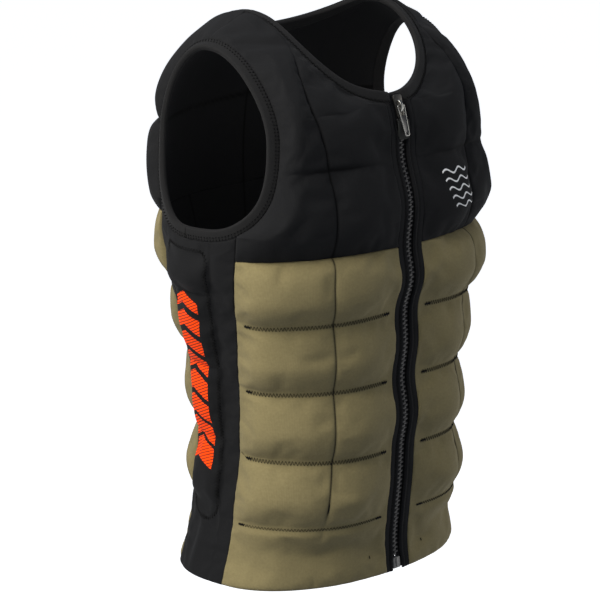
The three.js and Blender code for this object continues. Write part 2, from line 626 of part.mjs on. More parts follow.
// Pull: a tapered plate whose top bar turns under the slider's bridge, with a round hole near its end.
const pullAxis = sliderFace + BRIDGE.lift / 2;
function zipPull() {
  const plate = roundedPlate(PULL.bottom, PULL.top, PULL.length, PULL.plate, PULL.corner);
  plate.translate(0, (PULL.bar - PULL.length) / 2, -PULL.plate / 2);
  const window = new THREE.BoxGeometry(PULL_WINDOW.width, PULL_WINDOW.length, CUT);
  window.translate(0, -(PULL.bar + PULL_WINDOW.length) / 2, 0);
  const hole = new THREE.CylinderGeometry(PULL_HOLE.radius, PULL_HOLE.radius, CUT, 12);
  hole.rotateX(Math.PI / 2).translate(0, PULL_HOLE.up - PULL.length, 0);
  const { bottom, top, length, depth, corner, down } = PULL_GROOVE;
  const groove = roundedPlate(bottom, top, length, CUT, corner).translate(0, -down, PULL.plate / 2 - depth);
  return geometryOf(solid(plate).subtract(solid(window)).subtract(solid(hole)).subtract(solid(groove)));
}

// Cover tab over the top of the teeth, behind the pull.
function zipGarage() {
  const top = sliderRise - SLIDER.length / 2 - GARAGE.below;
  const at = (across, rise) => {
    const x = lerp(GARAGE.width / 2, -GARAGE.width / 2, across);
    return { angle: frontAngle(x, rise), rise };
  };
  const under = (across, rise) => zipEdgeLift(rise) + GAP / 2;
  const over = (across, rise) => under(across, rise) + GARAGE.plate;
  const rows = cells([top - GARAGE.length, top], [3]);
  return padded({ columns: cells([0, 1], [4]), rows, at, under, over });
}

// Box at the zip's lower end, round the ends of both rows of teeth.
function zipBox() {
  const { width, length, depth, corner } = ZIP_BOX;
  return roundedPlate(width, width, length, depth, corner).translate(0, 0, -depth / 2);
}

// Assembly: pieces on the wearer's right, their mirror images on the left, and pieces across the middle.
const vest = new THREE.Group();
vest.position.z = -SEAT_HEIGHT;

function addPiece(name, geometry, material, parent = vest) {
  const mesh = new THREE.Mesh(geometry, material);
  mesh.name = name;
  parent.add(mesh);
  return mesh;
}
function addPair(name, geometry, material) {
  addPiece(`${name}_right`, geometry, material);
  addPiece(`${name}_left`, geometry, material).scale.x = -1;
}

addPair("front_body", frontBody(), OLIVE);
addPair("front_chest", frontChest(), BLACK);
addPair("side_panel", sidePanel(), BLACK);
addPair("armhole_binding", armholeBinding(), BLACK);
addPair("zip_facing", zipFacing(), BLACK);
addPiece("back_body", backBody(), OLIVE);
addPiece("back_yoke", backYoke(), BLACK);
addPiece("neck_binding", neckBinding(), BLACK);
addPiece("zip_tape_right", zipTape(0), TAPE_BLACK);
addPiece("zip_tape_left", zipTape(ZIP.pitch / 2), TAPE_BLACK).scale.x = -1;
addPiece("zip_garage", zipGarage(), BLACK);

const sliderFrame = zipFrame(sliderRise, zipLift(sliderRise));
addPiece("zip_slider", zipSlider(), GUNMETAL, sliderFrame);
addPiece("zip_pull", zipPull(), NICKEL, sliderFrame).position.z = pullAxis;
const boxRise = HEM + ZIP_BOX.length / 2 + 1;
const boxFrame = zipFrame(boxRise, zipLift(boxRise));
addPiece("zip_box", zipBox(), PLASTIC, boxFrame);
vest.add(sliderFrame, boxFrame);

export default vest;
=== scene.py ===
"""Dresses the wakeboard impact vest: quilted panels, bound edges, stitching and a moulded zip.

A place on the vest is an angle round the torso in degrees (0 left, 90 back, 180 right, 270 front)
and a rise in millimetres: a height above the hem up to the chest, then the length of the roll over
the shoulder. Lifts are millimetres out from the torso's skin. Meshes are in metres, in the frame of
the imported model.
"""

import logging
import math
from dataclasses import dataclass, field
from enum import Enum
from typing import Sequence

import bmesh
import bpy
import numpy as np
from mathutils import Matrix, Vector


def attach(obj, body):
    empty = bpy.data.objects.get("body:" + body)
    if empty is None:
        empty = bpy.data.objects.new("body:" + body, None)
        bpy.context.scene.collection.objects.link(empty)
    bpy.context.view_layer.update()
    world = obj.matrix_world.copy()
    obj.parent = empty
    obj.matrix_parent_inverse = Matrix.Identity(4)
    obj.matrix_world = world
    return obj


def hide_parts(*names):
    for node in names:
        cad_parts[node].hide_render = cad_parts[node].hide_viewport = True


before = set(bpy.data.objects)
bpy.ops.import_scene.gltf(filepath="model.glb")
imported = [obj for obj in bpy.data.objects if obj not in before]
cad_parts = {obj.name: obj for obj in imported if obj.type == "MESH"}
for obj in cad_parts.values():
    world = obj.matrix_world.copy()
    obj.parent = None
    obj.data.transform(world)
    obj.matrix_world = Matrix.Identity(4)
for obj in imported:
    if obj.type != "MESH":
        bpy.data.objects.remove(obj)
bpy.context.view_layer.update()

Array = np.ndarray
Places = tuple[Array, Array]
Pair = tuple[float, float]
Table = tuple[float, ...]
Triple = tuple[float, float, float]
Shape = bmesh.types.BMesh
Object = bpy.types.Object
Material = bpy.types.Material
Socket = bpy.types.NodeSocket

log = logging.getLogger("vest")

MM = 0.001
SEAT_HEIGHT = 558.0
GAP = 0.6
LAP = 0.8
SHOULDER_LAP = 2.5
HEM = -2.0
FRONT_ROWS = (63.0, 133.0, 206.0, 279.0, 345.0)
BACK_ROWS = (72.0, 148.0, 228.0, 304.0, 380.0)
FRONT_YOKE = FRONT_ROWS[-1]
BACK_YOKE = BACK_ROWS[-1]
CHEST_SEAM = 430.0
BACK_SEAM = 470.0
HEM_LIFT = 5.0
SEAM_LIFT = 6.0
RIPPLE_RADIUS = 138.0
RIPPLES = ((0.5, 43.0, 61.0, 0.7), (0.3, 27.0, -85.0, 2.1), (0.2, 120.0, 33.0, 4.0))


class Side(Enum):
    """Half of the vest that a piece lies on, as the wearer has it."""

    RIGHT = "right"
    LEFT = "left"
    MIDDLE = "middle"


class Slot(Enum):
    """Names of material slots."""

    OLIVE = "olive_neoprene"
    BLACK = "black_neoprene"
    BINDING = "binding"
    CHAIN = "zip_chain"
    SLIDER = "slider_metal"
    PULL = "pull_metal"
    PLASTIC = "zip_plastic"


class Axis(Enum):
    """Ways across a sheet of cells."""

    UP = 0
    ACROSS = 1


def lerp(start: Array, end: Array, share: Array) -> Array:
    """Value at a share of the way from a start to an end."""
    return start + (end - start) * share


def ease(value: Array, low: float, high: float) -> Array:
    """Smooth step from 0 at the low value to 1 at the high one."""
    t = np.clip((value - low) / (high - low), 0, 1)
    return t * t * (3 - 2 * t)


def swell(distance: Array, reach: float) -> Array:
    """Share of full padding at a distance from a sewn line: a quarter round of the given reach."""
    return np.sqrt(1 - (1 - np.clip(distance / reach, 0, 1)) ** 2)


def near(value: Array, stops: Sequence[float], reach: float) -> Array:
    """Closeness to the nearest of some sewn lines: 1 on a line, 0 at the reach and beyond."""
    gaps = np.min([np.abs(value - stop) for stop in stops], axis=0)
    return 1 - ease(gaps, 0, reach)


def bump(value: Array, middle: float, width: float) -> Array:
    """Smooth bump about a middle, with a height of one."""
    return np.exp(-(((value - middle) / width) ** 2))


def cubic(stops: Sequence[float], values: Sequence[float], at: Array) -> Array:
    """Cubic through a table's rows, flat outside them.

    Args:
        stops: Heights of the rows, rising.
        values: Value in each row.
        at: Heights to read.

    Returns:
        The values at those heights.
    """
    x, y = np.asarray(stops, float), np.asarray(values, float)
    last = len(x) - 1
    at = np.clip(at, x[0], x[last])
    i = np.clip(np.searchsorted(x, at) - 1, 0, last - 1)
    before = np.maximum(np.arange(last + 1) - 1, 0)
    after = np.minimum(np.arange(last + 1) + 1, last)
    slope = (y[after] - y[before]) / (x[after] - x[before])
    span = x[i + 1] - x[i]
    t = (at - x[i]) / span
    rest = 1 - t
    ends = (1 + 2 * t) * rest**2 * y[i] + t**2 * (3 - 2 * t) * y[i + 1]
    return ends + span * (t * rest**2 * slope[i] - t**2 * rest * slope[i + 1])


def graded(stops: Sequence[float], cell: float, groove: float) -> Array:
    """Positions about a cell apart from the first stop to the last, closer beside each stop.

    Args:
        stops: Sewn lines that positions fall on.
        cell: Usual spacing.
        groove: Distance of the close positions from their stop.

    Returns:
        Rising positions.
    """
    places: list[float] = []
    for low, high in zip(stops, stops[1:]):
        count = max(2, round((high - low - 2 * groove) / cell))
        places += [low, *np.linspace(low + groove, high - groove, count + 1)]
    return np.array([*places, stops[-1]])


def pad_rows(rise: Array, rows: Sequence[float], crest: float = 0.42, floor: float = 3.0) -> Array:
    """Share of full padding between sewn rows: a long slope and a rounded underside.

    Args:
        rise: Where to measure.
        rows: Sewn rows, rising.
        crest: Share of a pad's height where it stands out furthest.
        floor: Half width of the flat sewn strip.

    Returns:
        Share between 0 and 1, with none outside the rows.
    """
    share = np.zeros_like(rise)
    for low, high in zip(rows, rows[1:]):
        t = np.clip((rise - low - floor) / (high - low - 2 * floor), 0, 1)
        off = np.where(t < crest, (crest - t) / crest, (t - crest) / (1 - crest))
        pad = 1 - off ** np.where(t < crest, 2.0, 1.35)
        share = np.where((rise > low) & (rise < high), pad, share)
    return share


def unit(vectors: Array) -> Array:
    """Vectors scaled to a length of one."""
    return vectors / np.maximum(np.linalg.norm(vectors, axis=-1, keepdims=True), 1e-12)


def shares_along(first: Array, second: Array, move: Array) -> Places:
    """How much of two directions makes up a move in their plane.

    Args:
        first: First directions, one row each.
        second: Second directions.
        move: Moves.

    Returns:
        Shares of the first directions and of the second.
    """
    pairs = (first, first), (first, second), (second, second), (first, move), (second, move)
    aa, au, uu, pa, pu = (np.sum(one * other, axis=1) for one, other in pairs)
    det = aa * uu - au * au
    return (pa * uu - pu * au) / det, (pu * aa - pa * au) / det


@dataclass(frozen=True)
class TorsoForm:
    """Skin that the vest's inner face lies on: half widths and depths at heights above the hem."""

    heights: Table = (-2, 32, 66, 146, 240, 333, 405, 460, 580)
    widths: Table = (156, 146, 139, 132, 145, 175, 183, 183, 183)
    fronts: Table = (101, 98, 101, 107, 107, 114, 110, 99, 70)
    backs: Table = (114, 107, 102, 97, 106, 109, 112, 108, 88)
    roundness: float = 2.4
    shoulder_start: float = 460
    shoulder_roll: float = 160
    ridge_y: float = 12
    ridge_neck: Pair = (88, 575)
    ridge_tip: Pair = (164, 541)
    step: float = 0.2

    @property
    def ridge_rise(self) -> float:
        """Rise of the shoulder's ridge."""
        return self.shoulder_start + self.shoulder_roll

    def ridge_height(self, x: Array) -> Array:
        """Height of the shoulder's ridge at a distance from the centre."""
        slope = (self.ridge_tip[1] - self.ridge_neck[1]) / (self.ridge_tip[0] - self.ridge_neck[0])
        return self.ridge_neck[1] + slope * (np.abs(x) - self.ridge_neck[0])

    def half_width(self, rise: Array) -> Array:
        """Half width of the torso at a rise."""
        return cubic(self.heights, self.widths, np.minimum(rise, self.shoulder_start))

    def bare(self, angle: Array, rise: Array) -> Array:
        """Points of the skin, in millimetres from the hem.

        Args:
            angle: Angles round the torso in degrees.
            rise: Rises; past the ridge they carry on down the other side of the shoulder.

        Returns:
            Points with x, y and height along the last axis.
        """
        c, s = np.cos(np.radians(angle)), np.sin(np.radians(angle))
        reach = (np.abs(c) ** self.roundness + np.abs(s) ** self.roundness) ** (-1 / self.roundness)
        x = self.half_width(rise) * c * reach
        roll = np.maximum(rise - self.shoulder_start, 0) / self.shoulder_roll * (math.pi / 2)
        rolled = self.shoulder_start + (self.ridge_height(x) - self.shoulder_start) * np.sin(roll)
        height = np.where(roll > 0, rolled, rise)
        front = cubic(self.heights, self.fronts, height)
        back = cubic(self.heights, self.backs, height)
        depth = np.where((s < 0) != (roll > math.pi / 2), -front, back)
        flat = np.abs(np.cos(roll))
        y = self.ridge_y * (1 - flat) + depth * np.abs(s) * reach * flat
        return np.stack([x, y, height], axis=-1)

    def ways(self, angle: Array, rise: Array) -> Places:
        """Directions along the skin.

        Args:
            angle: Angles round the torso.
            rise: Rises.

        Returns:
            Directions per degree of angle and per millimetre of rise.
        """
        around = self.bare(angle + self.step, rise) - self.bare(angle - self.step, rise)
        upward = self.bare(angle, rise + self.step) - self.bare(angle, rise - self.step)
        return around / (2 * self.step), upward / (2 * self.step)

    def on(self, angle: Array, rise: Array, lift: Array) -> Array:
        """Points in metres at a lift from the skin.

        Args:
            angle: Angles round the torso.
            rise: Rises.
            lift: Millimetres out from the skin.

        Returns:
            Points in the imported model's frame.
        """
        values = (np.asarray(value, float) for value in (angle, rise, lift))
        angle, rise, lift = np.broadcast_arrays(*values)
        around, upward = self.ways(angle, rise)
        points = self.bare(angle, rise) + unit(np.cross(around, upward)) * lift[..., None]
        points[..., 2] -= SEAT_HEIGHT
        return points * MM


@dataclass
class VestPattern:
    """Sewn lines of the vest, as places on the torso's skin."""

    torso: TorsoForm = field(default_factory=TorsoForm)
    seam_heights: Table = (HEM, 200, 345, 400)
    side_front: Table = (185, 190, 202, 206)
    side_back: Table = (139, 138, 144, 153)
    column_heights: Table = (HEM, 82, 127, 204, 277, 312, 345)
    front_column: Table = (230.4, 231.0, 231.7, 233.2, 235.2, 235.8, 238)
    neck_half_width: float = 88
    neck_front_drop: float = 80
    neck_back_drop: float = 26
    arm_angles: Table = (216, 218, 219, 214, 201, 182, 165, 155, 149, 147, 144)
    arm_rises: Table = (620, 540, 465, 408, 380, 374, 379, 408, 465, 540, 620)
    arm_steps: int = 96
    arm_binding: float = 12
    neck_binding: float = 9
    neck_raise: float = 1.2
    neck_fade: Pair = (17, 58)
    side_push: float = 1.4
    zip_edge: float = 17.5
    zip_seat: float = 4.2
    zip_sways: Table = (0.8, 4.5, 4.0, 5.5, 5.0, 6.0)
    zip_tape: float = 1.2
    zip_facing: float = 3.4
    zip_overrun: float = 30
    slider_below: float = 10

    def __post_init__(self) -> None:
        """Works out the armhole's lines and the heights along the zip."""
        self.arm_line = self.armhole_line(self.arm_binding - LAP)
        self.arm_bottom = int(np.argmin(self.arm_line[1]))
        self.front_meeting = self._meeting(0, self.arm_bottom + 1, self.side_front)
        self.back_meeting = self._meeting(self.arm_bottom, self.arm_steps + 1, self.side_back)
        self.zip_top = float(self.neckline(np.array(0.0), 0)[1])
        self.slider_rise = self.zip_top - self.slider_below

    def _meeting(self, start: int, end: int, seam: Sequence[float]) -> float:
        """Where an upright seam arrives on the armhole's line.

        Args:
            start: First step to search.
            end: Step after the last.
            seam: The seam's table of angles.

        Returns:
            Position on the line.
        """
        angle, rise = self.arm_line[0][start:end], self.arm_line[1][start:end]
        measure = angle - self.seam(seam, rise)
        i = int(np.argmax(measure[1:] * measure[:-1] <= 0))
        return start + i + measure[i] / (measure[i] - measure[i + 1])

    def seam(self, seam: Sequence[float], rise: Array) -> Array:
        """Angle of an upright seam at a rise."""
        return cubic(self.seam_heights, seam, rise)

    def gap_angle(self, rise: Array) -> Array:
        """Angle of half the gap between two pieces: negative, because they lap at their seam."""
        return np.degrees(-LAP / 2 / self.torso.half_width(rise))

    def front_angle(self, x: Array, rise: Array) -> Array:
        """Angle of a place on the front.

        Args:
            x: Distances from the centre line, to the wearer's right.
            rise: Rises.

        Returns:
            Angles in degrees.
        """
        across = x / self.torso.half_width(rise)
        deep = (1 - np.abs(across) ** self.torso.roundness) ** (1 / self.torso.roundness)
        return 270 - np.degrees(np.arctan2(across, deep))

    def _arm_places(self, t: Array) -> Places:
        """Rounded curve of the armhole's edge.

        Args:
            t: Shares of the way along it.

        Returns:
            Angles and rises.
        """
        points = np.array([self.arm_angles, self.arm_rises], float)
        before = 2 * points[:, :1] - points[:, 1:2]
        points = np.hstack([before, points, 2 * points[:, -1:] - points[:, -2:-1]])
        spot = np.clip(t, 0, 1) * (len(self.arm_angles) - 1)
        i = np.minimum(spot.astype(int), len(self.arm_angles) - 2)
        w = spot - i
        before, low, high, after = (points[:, i + k] for k in range(4))
        out, back = (high - before) / 2, (after - low) / 2
        bend = -3 * low + 3 * high - 2 * out - back
        angle, rise = low + w * (out + w * (bend + w * (2 * low - 2 * high + out + back)))
        return angle, rise

    def armhole_line(self, margin: float) -> Places:
        """Line at a margin outside the armhole's edge, from the front tip to the back tip.

        Args:
            margin: Distance on the skin, away from the opening.

        Returns:
            Angles and rises along the line.
        """
        t = np.linspace(0, 1, self.arm_steps + 1)
        angle, rise = self._arm_places(t)
        ahead = self._arm_places(np.minimum(t + 0.01, 1))
        behind = self._arm_places(np.maximum(t - 0.01, 0))
        around, upward = self.torso.ways(angle, rise)
        way = around * (ahead[0] - behind[0])[:, None] + upward * (ahead[1] - behind[1])[:, None]
        aside = unit(np.cross(np.cross(around, upward), way)) * margin
        turned, raised = shares_along(around, upward, aside)
        rise = rise + raised
        rise[[0, -1]] = self.torso.ridge_rise
        return angle + turned, rise

    def along(self, line: Places, position: Array) -> Places:
        """Places at positions along an armhole's line."""
        steps = np.arange(self.arm_steps + 1)
        return np.interp(position, steps, line[0]), np.interp(position, steps, line[1])

    def front_position(self, rise: Array) -> Array:
        """Position on the armhole's line at a rise on the front."""
        steps = np.arange(self.arm_bottom, -1, -1)
        return np.interp(rise, self.arm_line[1][self.arm_bottom :: -1], steps)

    def back_position(self, rise: Array) -> Array:
        """Position on the armhole's line at a rise on the back."""
        steps = np.arange(self.arm_bottom, self.arm_steps + 1)
        return np.interp(rise, self.arm_line[1][self.arm_bottom :], steps)

    def neckline(self, turn: Array, margin: Array) -> Places:
        """Places on the neck opening or a margin outside it, on the wearer's right.

        Args:
            turn: Degrees round the opening: 0 the front, 90 the ridge, 180 the back.
            margin: Distance away from the opening.

        Returns:
            Angles and rises.
        """
        torso = self.torso
        half = self.neck_half_width + margin
        x, forward = half * np.sin(np.radians(turn)), np.cos(np.radians(turn))
        drop = np.where(forward > 0, self.neck_front_drop, self.neck_back_drop) + margin
        height = torso.ridge_height(half) - drop * np.abs(forward)
        share = (height - torso.shoulder_start) / (torso.ridge_height(x) - torso.shoulder_start)
        rolled = torso.shoulder_roll * np.arcsin(np.clip(share, 0, 1)) / (math.pi / 2)
        far = torso.ridge_rise + torso.shoulder_roll - rolled
        rise = np.where(forward > 0, torso.shoulder_start + rolled, far)
        return self.front_angle(x, rise), rise

    def zip_turn(self, margin: Array) -> Array:
        """Turn on the neckline where the zip's facing starts."""
        return np.degrees(np.arcsin((self.zip_edge - LAP / 2) / (self.neck_half_width + margin)))

    def zip_lift(self, rise: Array) -> Array:
        """How far the zip's tape stands off the skin: it sways out with the pads beside it.

        Args:
            rise: Heights up the zip.

        Returns:
            Lifts in millimetres.
        """
        stops = np.array([*FRONT_ROWS, CHEST_SEAM, self.zip_top + self.zip_overrun])
        i = np.clip(np.searchsorted(stops, rise, side="right"), 1, len(stops) - 1)
        wave = np.sin(math.pi * (rise - stops[i - 1]) / (stops[i] - stops[i - 1])) ** 2
        sway = np.array(self.zip_sways)[i - 1]
        return self.zip_seat + sway * np.where(rise < stops[0], 0, wave)

    def zip_edge_lift(self, rise: Array) -> Array:
        """Lift of the facing's outer face, which the panels beside it meet."""
        return self.zip_lift(rise) + self.zip_tape / 2 + GAP / 2 + self.zip_facing

    def neck_lift(self, x: Array) -> Array:
        """Lift of the cloth along the front of the neckline, down from the zip's facing."""
        top = self.zip_edge_lift(np.array(self.zip_top))
        return lerp(top, SEAM_LIFT + self.neck_raise, ease(np.abs(x), *self.neck_fade))

    def side_seam_lift(self, rise: Array) -> Array:
        """Lift of the seam between front and side, which the front's pads push out a little."""
        pushed = self.side_push * pad_rows(rise, FRONT_ROWS)
        return plain_lift(rise, FRONT_ROWS[0]) + pushed


def plain_lift(rise: Array, first_row: float) -> Array:
    """Lift of plain cloth, which thickens a little from the hem to the first sewn row."""
    return lerp(HEM_LIFT, SEAM_LIFT, np.clip(rise / first_row, 0, 1))


def ripples(angle: Array, rise: Array) -> Array:
    """Shallow folds of worn cloth, between -1 and 1.

    Args:
        angle: Angles round the torso.
        rise: Rises.

    Returns:
        Heights of the folds.
    """
    around = np.radians(angle) * RIPPLE_RADIUS
    return sum(
        height * np.sin(math.tau * (around / across + rise / up) + start)
        for height, across, up, start in RIPPLES
    )


def split(across: Array, line: float, share: Array) -> Array:
    """Share across a panel whose inner seam, on a fixed line of cells, lies at a given share."""
    beyond = lerp(share, 1, (across - line) / (1 - line))
    return np.where(across < line, across / line * share, beyond)


def new_object(name: str, bm: Shape, finishes: Sequence[Material]) -> Object:
    """Object at the origin made from a bmesh, smooth shaded.

    Args:
        name: Name of the piece.
        bm: Shape, which is freed.
        finishes: Materials in the order of the faces' indices.

    Returns:
        The linked object.
    """
    mesh = bpy.data.meshes.new(name)
    bm.to_mesh(mesh)
    bm.free()
    for finish in finishes:
        mesh.materials.append(finish)
    mesh.polygons.foreach_set("use_smooth", [True] * len(mesh.polygons))
    obj = bpy.data.objects.new(name, mesh)
    bpy.context.collection.objects.link(obj)
    return obj


def hand_over(obj: Object, nodes: Sequence[str] = (), body: str = "vest") -> None:
    """Ties a piece to its body and the solids that it stands for.

    Args:
        obj: The piece.
        nodes: Names of the solids that it replaces.
        body: Body that it moves with.
    """
    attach(obj, body)
    if nodes:
        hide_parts(*nodes)
    log.info("%s: %d faces", obj.name, len(obj.data.polygons))


def joined_copies(name: str, bm: Shape, origins: Array, axes: Array, finish: Material) -> Object:
    """One mesh of many copies of a small shape.

    Args:
        name: Name of the piece.
        bm: The small shape, which is freed.
        origins: Centre of each copy, one row each.
        axes: The x, y and z axes of each copy, scaled, as three rows each.
        finish: Material.

    Returns:
        The linked object.
    """
    small = bm.verts[:]
    first = [*small, *bm.edges, *bm.faces]
    for origin, ways in zip(origins, axes):
        made = bmesh.ops.duplicate(bm, geom=first)["geom"]
        verts = [item for item in made if isinstance(item, bmesh.types.BMVert)]
        spot = Matrix.Translation(origin) @ Matrix(ways).transposed().to_4x4()
        bmesh.ops.transform(bm, matrix=spot, verts=verts)
    bmesh.ops.delete(bm, geom=small, context="VERTS")
    return new_object(name, bm, [finish])


def grid_cells(bm: Shape, rows: int, columns: int) -> list[tuple[int, int]]:
    """Row and column of each vertex of a grid that is one unit wide and high."""
    spots = [(vert.co.y + 0.5, vert.co.x + 0.5) for vert in bm.verts]
    return [(round(up * (rows - 1)), round(across * (columns - 1))) for up, across in spots]


def soften(bm: Shape, edges: Sequence[bmesh.types.BMEdge], radius: float, segments: int) -> None:
    """Rounds some edges of a shape.

    Args:
        bm: The shape.
        edges: Edges to round.
        radius: Radius in the shape's own unit.
        segments: Number of facets across each round.
    """
    bmesh.ops.bevel(
        bm, geom=edges, offset=radius, segments=segments,
        profile=0.5, affect="EDGES", material=-1, clamp_overlap=True,
    )


class Nodes:
    """Short-hand for one material's nodes."""

    def __init__(self, name: str) -> None:
        """Starts a material with its surface shader.

        Args:
            name: Name of the material.
        """
        self.material = bpy.data.materials.new(name)
        self.material.use_nodes = True
        self.tree = self.material.node_tree
        self.shader = self.tree.nodes["Principled BSDF"]

    def put(self, node: bpy.types.Node, inputs: dict) -> bpy.types.Node:
        """Sets or links a node's inputs.

        Args:
            node: The node.
            inputs: Value or socket for each input, by name or index.

        Returns:
            The same node.
        """
        for key, value in inputs.items():
            if isinstance(value, Socket):
                self.tree.links.new(value, node.inputs[key])
            else:
                node.inputs[key].default_value = value
        return node

    def add(self, kind: str, inputs: dict, **settings: object) -> bpy.types.Node:
        """Adds a node.

        Args:
            kind: Type of node.
            inputs: Value or socket for each input.
            settings: Its own settings.

        Returns:
            The node.
        """
        node = self.tree.nodes.new(f"ShaderNode{kind}")
        for key, value in settings.items():
            setattr(node, key, value)
        return self.put(node, inputs)

    def math(self, operation: str, *values: object) -> Socket:
        """Result of a sum on numbers or sockets."""
        return self.add("Math", dict(enumerate(values)), operation=operation).outputs[0]

    def blend(self, share: object, start: object, end: object) -> Socket:
        """Colour at a share of the way between two colours."""
        node = self.add("Mix", {0: share, 6: start, 7: end}, data_type="RGBA")
        return node.outputs[2]

    def noise(self, vector: Socket, scale: float, detail: float = 2) -> Socket:
        """Fine noise at a number of lumps per metre."""
        inputs = {"Vector": vector, "Scale": scale, "Detail": detail}
        return self.add("TexNoise", inputs).outputs["Fac"]

    def bands(self, vector: Socket, period: float, way: str, wander: float) -> Socket:
        """Fine bands.

        Args:
            vector: Coordinates.
            period: Spacing in metres.
            way: Axis that they follow.
            wander: How far they stray.

        Returns:
            Height of the bands.
        """
        inputs = {"Vector": vector, "Scale": 0.314159 / period, "Distortion": wander}
        inputs["Detail Scale"] = 1.5
        return self.add("TexWave", inputs, bands_direction=way).outputs["Fac"]

    def cloth(self) -> Socket:
        """Coordinates along the cloth in metres: across, up."""
        return self.add("Attribute", {}, attribute_name="cloth").outputs["Vector"]

    def sewn(self) -> Socket:
        """Closeness to a sewn line, which sets how much painted shade the cloth takes there."""
        return self.add("Attribute", {}, attribute_name="sewn").outputs["Fac"]

    def spot(self) -> Socket:
        """Coordinates of the point on its own piece, in metres."""
        return self.add("TexCoord", {}).outputs["Object"]

    def finish(self, surface: dict, height: Socket, strength: float, distance: float) -> Material:
        """Sets the shader's sockets and raises its normal.

        Args:
            surface: Value or socket for each of the shader's inputs.
            height: Height of the relief.
            strength: How far the relief counts.
            distance: Height of the relief's top in metres.

        Returns:
            The finished material.
        """
        relief = self.add("Bump", {"Height": height, "Strength": strength, "Distance": distance})
        self.put(self.shader, {**surface, "Normal": relief.outputs[0]})
        return self.material


def paint(code: str) -> tuple[float, float, float, float]:
    """Linear colour of a screen colour.

    Args:
        code: Six hexadecimal digits.

    Returns:
        Red, green, blue and alpha.
    """
    parts = [int(code[i : i + 2], 16) / 255 for i in (0, 2, 4)]
    curve = [((part + 0.055) / 1.055) ** 2.4 for part in parts]
    linear = [low / 12.92 if low <= 0.04045 else high for low, high in zip(parts, curve)]
    return (*linear, 1.0)


@dataclass(frozen=True)
class Jersey:
    """Knitted jersey over foam: fine ribs, mottled yarn, a soft sheen, and painted shade along the
    sewn lines where the seams' folds fall dark.
    """

    name: str
    yarn: str
    shade: str
    # seam: colour of the painted shade in the seams' folds and creases, not a colour of the thread
    # or cloth
    seam: str
    rib: float = 0.0013
    sheen: float = 0.25
    gloss: float = 0.2
    roughness: float = 0.86
    relief: float = 0.35

    def colour(self, nodes: Nodes, knit: Socket) -> Socket:
        """Colour of the cloth before any print.

        Args:
            nodes: The material's nodes.
            knit: Height of the knit.

        Returns:
            The colour.
        """
        heather = nodes.noise(nodes.cloth(), 420, 3)
        mottle = nodes.noise(nodes.cloth(), 55, 4)
        share = nodes.math("MULTIPLY_ADD", heather, 0.5, nodes.math("MULTIPLY", mottle, 0.25))
        share = nodes.math("MULTIPLY_ADD", knit, 0.2, share)
        plain = nodes.blend(share, paint(self.shade), paint(self.yarn))
        # Painted shade: the cloth darkens towards the seam colour where the sewn attribute marks a
        # seam's fold or crease, standing in for the shadow there.
        return nodes.blend(nodes.sewn(), plain, paint(self.seam))

    def build(self) -> Material:
        """Builds the cloth.

        Returns:
            The finished material.
        """
        nodes = Nodes(self.name)
        cloth = nodes.cloth()
        wales = nodes.bands(cloth, self.rib, "X", 0.6)
        courses = nodes.bands(cloth, self.rib * 0.8, "Y", 0.6)
        fuzz = nodes.noise(cloth, 900, 3)
        knit = nodes.math("MULTIPLY_ADD", wales, 0.5, nodes.math("MULTIPLY", courses, 0.5))
        knit = nodes.math("MULTIPLY_ADD", fuzz, 0.6, knit)
        surface = {
            "Base Color": self.colour(nodes, knit),
            "Roughness": self.roughness,
            "Sheen Weight": self.sheen,
            "Sheen Roughness": 0.45,
            "Specular IOR Level": self.gloss,
        }
        return nodes.finish(surface, knit, self.relief, 0.0004)


@dataclass(frozen=True)
class ChevronJersey(Jersey):
    """Black jersey with a stack of hatched orange chevrons."""

    ink: str = "FF4A0E"
    middle: float = -0.004
    half_width: float = 0.0205
    low: float = 0.124
    high: float = 0.318
    pitch: float = 0.0255
    slant: float = 0.55
    hatch: float = 0.0034

    def colour(self, nodes: Nodes, knit: Socket) -> Socket:
        """Colour of the cloth under its print.

        Args:
            nodes: The material's nodes.
            knit: Height of the knit.

        Returns:
            The colour.
        """
        plain = super().colour(nodes, knit)
        split = nodes.add("SeparateXYZ", {"Vector": nodes.cloth()}).outputs
        off = nodes.math("ABSOLUTE", nodes.math("SUBTRACT", split[0], self.middle))
        lean = nodes.math("MULTIPLY_ADD", off, self.slant, split[1])
        turn = nodes.math("FRACT", nodes.math("DIVIDE", lean, self.pitch))
        inside = nodes.math("LESS_THAN", off, self.half_width)
        above = nodes.math("GREATER_THAN", lean, self.low)
        below = nodes.math("LESS_THAN", lean, self.high)
        fade = nodes.math("DIVIDE", nodes.math("SUBTRACT", lean, self.low), self.high - self.low)
        thick = nodes.math("MULTIPLY_ADD", fade, -0.2, 0.86)
        bar = nodes.math("LESS_THAN", turn, thick)
        within = nodes.math("MULTIPLY", inside, above)
        mask = nodes.math("MULTIPLY", within, nodes.math("MULTIPLY", below, bar))
        lines = nodes.math("MULTIPLY_ADD", split[0], -0.5, split[1])
        across = nodes.math("FRACT", nodes.math("DIVIDE", lines, self.hatch))
        drawn = nodes.math("LESS_THAN", across, 0.74)
        return nodes.blend(nodes.math("MULTIPLY", mask, drawn), plain, paint(self.ink))


